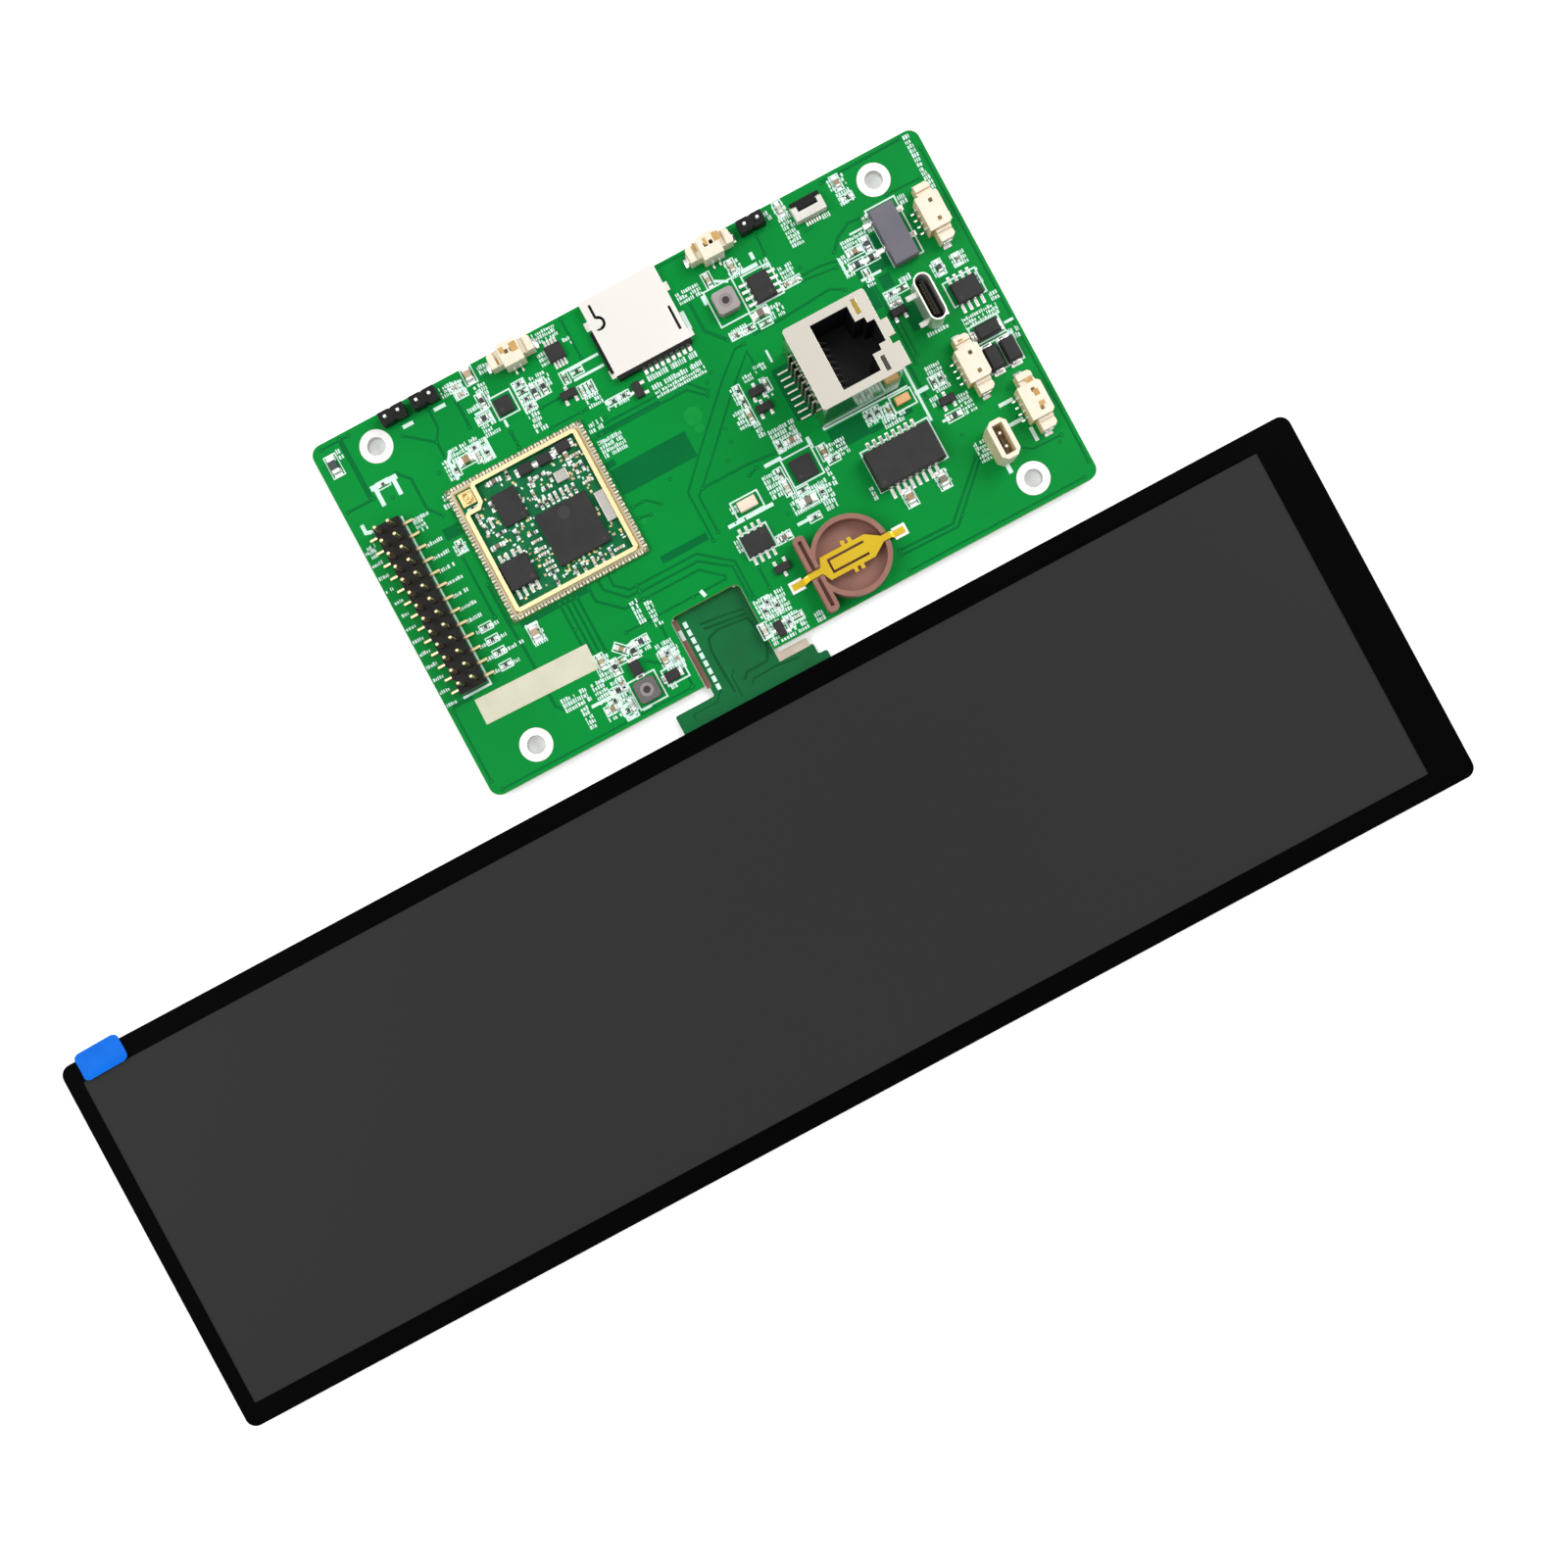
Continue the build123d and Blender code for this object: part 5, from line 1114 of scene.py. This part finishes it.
socketLook = {
    # the shell's upright sides turn darker green-grey: painted reflection of the green board and painted
    # shade
    "shell": {"colour": (0.72, 0.68, 0.6), "shade": (0.67, 0.63, 0.55), "metallic": 0.96,
              "roughness": (0.12, 0.18), "patches": 90.0, "lines": 500.0, "bump": 0.04,
              "edge": (0.4, 0.42, 0.36)},
    "cover": {"colour": (0.74, 0.71, 0.67), "shade": (0.7, 0.67, 0.63), "metallic": 0.7,
              "roughness": (0.3, 0.38), "patches": 60.0, "lines": 600.0, "bump": 0.05},
    "nylon": {"colour": (0.86, 0.8, 0.66), "shade": (0.82, 0.75, 0.6), "roughness": (0.42, 0.52),
              "bump": 0.15, "patches": 350.0, "subsurface": 0.25},
    # tan for the wafers' left sides: painted shade
    "nylonShadedSide": {"colour": (0.74, 0.58, 0.32), "shade": (0.8, 0.68, 0.45), "roughness": (0.42, 0.52),
                  "patches": 500.0},
    # golden-brown for the wafers' cavities and the windows in their tops: painted shade
    "cavity": {"colour": (0.5, 0.26, 0.05), "shade": (0.62, 0.4, 0.14), "roughness": (0.42, 0.52),
               "patches": 700.0},
    "ivory": {"colour": (0.76, 0.74, 0.68), "roughness": (0.42, 0.5), "subsurface": 0.15},
    "window": {"colour": (0.42, 0.27, 0.012), "shade": (0.3, 0.18, 0.008), "roughness": (0.15, 0.25),
               "coat": 0.4},
    "darkWindow": {"colour": (0.03, 0.026, 0.012), "roughness": (0.15, 0.25), "coat": 0.4},
    "tail": {"colour": (0.32, 0.29, 0.25), "shade": (0.42, 0.39, 0.34), "metallic": 0.8,
             "roughness": (0.3, 0.45)},
    "usb": {"colour": (0.84, 0.82, 0.79), "shade": (0.76, 0.74, 0.71), "metallic": 0.6,
            "roughness": (0.28, 0.38)},
    # black blocks beside the card cover, partly its base moulding and partly painted shadow in the gap: left,
    # lower, right and upper edge
    "cardBaseAndShadowEdges": [(53.7, 56.5, 54.5, 64.5), (54.4, 55.4, 55.6, 56.2)], "cardEdgeHeight": 0.7,
    "cardEdgeRound": 0.05,
    # contact strips on both faces of the upright socket's tongue
    "strips": 12, "stripPitch": 0.5, "stripAside": 0.37, "stripDepth": 4.2, "stripSize": (0.06, 0.26, 3.6),
    # how far up the board the lamp windows are dark, and the slope from which a housing's left side gets
    # painted shade
    "darkWindowTo": 38, "shadedSideSlope": -0.8,
    # windows in the nylon tops: centre, length and width in millimetres
    "windows": [(37.0, 67.4, 0.6, 1.3), (38.6, 68.3, 0.9, 1.1), (40.8, 68.0, 1.3, 1.7),
                (77.0, 68.5, 0.5, 1.7), (79.0, 68.3, 0.6, 1.3), (81.2, 68.3, 1.3, 1.6),
                (117.8, 20.3, 1.3, 1.1), (117.7, 17.7, 1.0, 1.2), (117.7, 15.6, 1.1, 0.8),
                (110.4, 32.1, 0.9, 0.4)], "rayHeight": 20.0,
}


# Shaded windows in the nylon tops, each set down on what lies under it
def buildWindows(finish):
    draft = bmesh.new()
    draft.from_mesh(cadNodes["wafer_housings"].data)
    tree = BVHTree.FromBMesh(draft)
    draft.free()
    shape = bmesh.new()
    for x, y, length, width in socketLook["windows"]:
        spot = tree.ray_cast(onBoard(x, y, socketLook["rayHeight"]), Vector((0, 0, -1)))[0]
        if spot is None:
            continue
        spot.z += layer("trace") * mm
        half = Vector((length / 2, width / 2, 0)) * mm
        addField(shape, spot - half, spot + half)
    makePiece("wafer_windows", shape, [finish], smoothAngle=0)


def buildSockets():
    look = socketLook
    ivory = makeFinish("ivoryMoulding", look["ivory"])
    roundNodes([
        ("network_jack_shell", 0.12, makeFinish("brightTinplate", look["shell"]), 2),
        ("network_jack_insert", 0.08, blackMoulding, 1),
        ("network_jack_contacts", 0.05, makeFinish("dullTail", look["tail"]), 1),
        ("usb_socket_shell", 0.04, makeFinish("palePlate", look["usb"]), 2),
        ("usb_socket_core", 0.08, blackMoulding, 1),
        ("card_socket_cover", 0.06, makeFinish("tinnedCover", look["cover"]), 2),
        ("card_socket_base", 0.05, blackMoulding, 1), ("card_socket_contacts", 0.03, tinFinish, 1),
        ("wafer_pins", 0.04, makeFinish("waferPin", packageLook["lead"]), 1),
        ("touch_socket_housing", 0.05, ivory, 1), ("tail_socket_housing", 0.05, ivory, 1),
        ("ribbon_contacts", 0.02, makeFinish("ribbonTin", packageLook["lead"]), 1)])
    roundedCopy("touch_socket_latch", 0.05, blackMoulding, body="touch_latch", segments=1)
    roundedCopy("tail_socket_latch", 0.05, blackMoulding, body="tail_latch", segments=1)
    lamps = roundedCopy("jack_lamp_windows", 0.1, makeFinish("amberWindow", look["window"]))
    splitFinish(lamps, makeFinish("darkWindow", look["darkWindow"]),
                lambda face: face.center.y < onBoard(0, look["darkWindowTo"]).y)
    wafers = roundedCopy("wafer_housings", 0.1, makeFinish("nylonMoulding", look["nylon"]),
                         inside=makeFinish("cavityShadeNylon", look["cavity"]))
    # faces turned to the left get painted shade
    splitFinish(wafers, makeFinish("shadedSideNylon", look["nylonShadedSide"]),
                lambda face: face.normal.x < look["shadedSideSlope"])
    buildWindows(makeFinish("windowShade", look["cavity"]))
    # black blocks beside the card cover: partly the base moulding, partly painted shadow in the gap between
    # cover and board
    shape = bmesh.new()
    for left, front, right, back in look["cardBaseAndShadowEdges"]:
        spot = onBoard((left + right) / 2, (front + back) / 2)
        size = Vector((right - left, back - front, look["cardEdgeHeight"])) * mm
        addBlock(shape, spot, size, rounding=look["cardEdgeRound"] * mm)
    makePiece("card_socket_edges", shape, [blackMoulding])
    low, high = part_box("usb_socket_core")
    shape = bmesh.new()
    for side in (-1, 1):
        for index in range(look["strips"]):
            y = (low.y + high.y) / 2 + (index - (look["strips"] - 1) / 2) * look["stripPitch"] * mm
            x = (low.x + high.x) / 2 + side * look["stripAside"] * mm
            addBlock(shape, Vector((x, y, high.z - look["stripDepth"] * mm)), Vector(look["stripSize"]) * mm)
    makePiece("usb_tongue_contacts", shape, [goldFinish], smoothAngle=30)
    print("sockets dressed")


# Coin cell holder

coinLook = {
    "case": {"colour": (0.27, 0.125, 0.095), "shade": (0.31, 0.15, 0.115), "roughness": (0.4, 0.5),
             "patches": 300.0, "bump": 0.2, "specular": 0.25},
    "spring": {"colour": (0.7, 0.5, 0.02), "shade": (0.58, 0.37, 0.015), "metallic": 0.7,
               "roughness": (0.2, 0.3), "lines": 800.0, "bump": 0.05},
    "padInset": 0.9, "padHalf": 1.3, "padWidth": 2.2,
}


def buildCoinHolder():
    look = coinLook
    roundedCopy("coin_holder", 0.18, makeFinish("brownMoulding", look["case"]))
    roundedCopy("coin_holder_spring", 0.06, makeFinish("yellowSpring", look["spring"]), segments=1)
    low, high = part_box("coin_holder_spring")
    shape = bmesh.new()
    inset, half = look["padInset"] * mm, Vector((look["padHalf"] * mm, 0, 0))
    for x in (low.x + inset, high.x - inset):
        spot = Vector((x, (low.y + high.y) / 2, boardTop + layer("pad") * mm))
        addRibbon(shape, [spot - half, spot + half], look["padWidth"] * mm)
    makePiece("spring_pads", shape, [tinFinish], smoothAngle=0)
    print("coin holder dressed")


# Flat tail

tailLook = {
    "film": {"colour": (0.005, 0.15, 0.04), "shade": (0.008, 0.11, 0.036), "roughness": (0.3, 0.38),
             "specular": 0.1, "patches": 120.0, "bump": 0.05},
    "run": {"colour": (0.002, 0.072, 0.022), "shade": (0.003, 0.09, 0.028), "roughness": (0.32, 0.4),
            "specular": 0.08},
    "stiffener": {"colour": (0.4, 0.2, 0.05), "roughness": (0.35, 0.45)},
    # brown and beige: painted shadow at the tail's edges
    "brown": {"colour": (0.17, 0.08, 0.05), "shade": (0.24, 0.13, 0.09), "roughness": (0.45, 0.55),
              "patches": 400.0},
    "beige": {"colour": (0.5, 0.4, 0.31), "shade": (0.6, 0.5, 0.42), "roughness": (0.45, 0.55),
              "patches": 400.0},
    "edgeDrop": 0.1, "edgeHeight": 0.12, "lift": 0.2, "markWidth": 0.7, "mark": [(42.85, 9.0), (42.85, 11.0)],
    # the row of printed dashes near the left edge
    "dashes": 9, "dashColumn": 44.3, "dashStart": -1.6, "dashPitch": 1.55, "dashRun": 1.15, "dashWidth": 0.75,
}
# Strips at the tail's edges: brown, painted shadow in the gap at the notch's wall over the board's brown cut
# edge; beige, painted shade of the table beside the tail; green, the tail's film. Each: left, lower, right
# and upper edge
tailShadowStrips = [(42.35, -0.5, 43.3, 13.0), (56.0, -2.3, 62.2, -0.7), (54.7, -2.4, 56.05, 13.3)]
# Paths of the tail's printed runs, in millimetres from the board's lower left corner
tailRuns = [
    (0.45, [(54.9, 9.1), (51.4, 9.7), (46.7, 10.3)]), (0.45, [(54.9, 8.1), (50.9, 8.7), (46.8, 9.2)]),
    (0.5, [(54.7, 7.4), (48.8, 8.0), (46.8, 7.3), (46.2, 5.3), (46.3, 0.2), (46.5, -3.3)]),
    (0.5, [(54.7, 7.4), (55.5, 3.0), (55.3, 0.9), (54.2, -1.0), (51.9, -1.2), (50.1, -1.1), (49.0, -2.2)]),
    (0.35, [(59.6, -3.2), (54.9, -2.6), (50.6, -2.8), (49.9, -3.5)]),
    (0.25, [(47.3, -4.6), (47.3, -0.6), (48.2, 0.4)]),
    (0.2, [(38.0, -4.6), (38.0, -3.4), (42.8, -3.4), (44.4, -1.8)]),
]


def buildTail():
    look = tailLook
    film = makeFinish("tailFilm", look["film"])
    roundedCopy("display_tail", 0.02, film, segments=1)
    paintNode("tail_stiffener", makeFinish("amberStiffener", look["stiffener"]))
    drop = (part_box("tail_stiffener")[1].z - boardTop) / mm + look["lift"]
    shape = bmesh.new()
    for width, path in tailRuns:
        addPath(shape, path, width, "trace", drop=drop)
    x = look["dashColumn"]
    for index in range(look["dashes"]):
        y = look["dashStart"] + index * look["dashPitch"]
        addPath(shape, [(x, y), (x, y + look["dashRun"])], look["dashWidth"], "print", 1, drop=drop)
    addPath(shape, look["mark"], look["markWidth"], "pad", 1, drop=drop)
    makePiece("tail_runs", shape, [makeFinish("tailGap", look["run"]), inkFinish],
              smoothAngle=0)
    # strips at the tail's edges: painted shadow in brown and beige, and a strip of the tail's film
    shape = bmesh.new()
    for index, (left, front, right, back) in enumerate(tailShadowStrips):
        spot = onBoard((left + right) / 2, (front + back) / 2, drop - look["edgeDrop"])
        addBlock(shape, spot, Vector((right - left, back - front, look["edgeHeight"])) * mm, slot=index)
    finishes = [makeFinish("brownShadowStrip", look["brown"]), makeFinish("beigeTableShade", look["beige"]), film]
    makePiece("tail_edges", shape, finishes, smoothAngle=30)
    print("tail dressed")


buildPanel()
buildBoard()
buildInk()
buildChipParts("chip_capacitors", chipLook["capacitors"], chipLook["capacitorSeed"])
buildChipParts("chip_resistors", chipLook["resistors"], chipLook["resistorSeed"])
buildPackages()
buildCore()
buildHeaders()
buildSockets()
buildCoinHolder()
buildTail()


# Table, light and camera

stageLook = {
    "table": (0.97, 0.97, 0.97), "tableSize": 6.0, "tableGap": 0.0002, "tableRoughness": 0.9,
    "tableGlow": 0.35,
    # how strong the white world is in what it gives to the object, and in what is seen of it
    "ambient": 0.45, "shown": 1.0,
    # each lamp's place and size in metres, and its watts
    "lamps": [((-0.75, 0.2, 1.2), 0.9, 9.0), ((0.95, 0.3, 1.2), 0.9, 13.0)],
}
cameraLook = {"below": (46.4, -21.9), "height": 308.0, "width": 278.0, "turn": -28.2, "clip": 0.01}


# One for the rays that show a surface, by sight, in a reflection or through glass, and nothing for its light
def shownRays(tree):
    path = tree.nodes.new("ShaderNodeLightPath")
    most = path.outputs["Is Camera Ray"]
    for ray in ("Is Glossy Ray", "Is Transmission Ray"):
        larger = tree.nodes.new("ShaderNodeMath")
        larger.operation = "MAXIMUM"
        tree.links.new(most, larger.inputs[0])
        tree.links.new(path.outputs[ray], larger.inputs[1])
        most = larger.outputs["Value"]
    return most


# Plain white all round, dimmer in what it gives to the object than in what is seen of it
def buildWorld():
    world = bpy.data.worlds.new("studio")
    bpy.context.scene.world = world
    world.use_nodes = True
    tree = world.node_tree
    mix = tree.nodes.new("ShaderNodeMixShader")
    tree.links.new(shownRays(tree), mix.inputs["Fac"])
    for index, shade, strength in ((1, tree.nodes["Background"], stageLook["ambient"]),
                                   (2, tree.nodes.new("ShaderNodeBackground"), stageLook["shown"])):
        shade.inputs["Strength"].default_value = strength
        shade.inputs["Color"].default_value = (1, 1, 1, 1)
        tree.links.new(shade.outputs["Background"], mix.inputs[index])
    tree.links.new(mix.outputs["Shader"], tree.nodes["World Output"].inputs["Surface"])


def buildTable():
    look = stageLook
    shape = bmesh.new()
    half, level = look["tableSize"] / 2, cadBox[0][2] - look["tableGap"]
    shape.faces.new([shape.verts.new((x * half, y * half, level))
                     for x, y in ((-1, -1), (1, -1), (1, 1), (-1, 1))])
    mesh = bpy.data.meshes.new("table")
    shape.to_mesh(mesh)
    shape.free()
    table = bpy.data.objects.new("table", mesh)
    bpy.context.scene.collection.objects.link(table)
    material = bpy.data.materials.new("paleTable")
    material.use_nodes = True
    tree = material.node_tree
    shader = tree.nodes["Principled BSDF"]
    shader.inputs["Base Color"].default_value = rgba(look["table"])
    shader.inputs["Roughness"].default_value = look["tableRoughness"]
    shader.inputs["Specular IOR Level"].default_value = 0.0
    shader.inputs["Emission Color"].default_value = rgba(look["table"])
    glow = tree.nodes.new("ShaderNodeMath")
    glow.operation = "MULTIPLY"
    tree.links.new(shownRays(tree), glow.inputs[0])
    glow.inputs[1].default_value = look["tableGlow"]
    tree.links.new(glow.outputs["Value"], shader.inputs["Emission Strength"])
    mesh.materials.append(material)


def buildLamps():
    for index, (spot, size, watts) in enumerate(stageLook["lamps"]):
        data = bpy.data.lights.new(f"softLamp{index}", "AREA")
        data.size = size
        data.energy = watts
        lamp = bpy.data.objects.new(f"softLamp{index}", data)
        lamp.location = spot
        lamp.rotation_euler = (-Vector(spot)).to_track_quat("-Z", "Y").to_euler()
        bpy.context.scene.collection.objects.link(lamp)


def buildCamera():
    look = cameraLook
    data = bpy.data.cameras.new("photoCamera")
    data.sensor_fit = "HORIZONTAL"
    data.angle = 2 * math.atan(look["width"] / 2 / look["height"])
    data.clip_start = look["clip"]
    camera = bpy.data.objects.new("photoCamera", data)
    camera.location = onBoard(*look["below"], look["height"])
    camera.rotation_euler = (0, 0, math.radians(look["turn"]))
    bpy.context.scene.collection.objects.link(camera)
    bpy.context.scene.camera = camera


buildWorld()
buildTable()
buildLamps()
buildCamera()
bpy.context.scene.view_settings.view_transform = "Standard"
print("stage, lamps and camera ready")
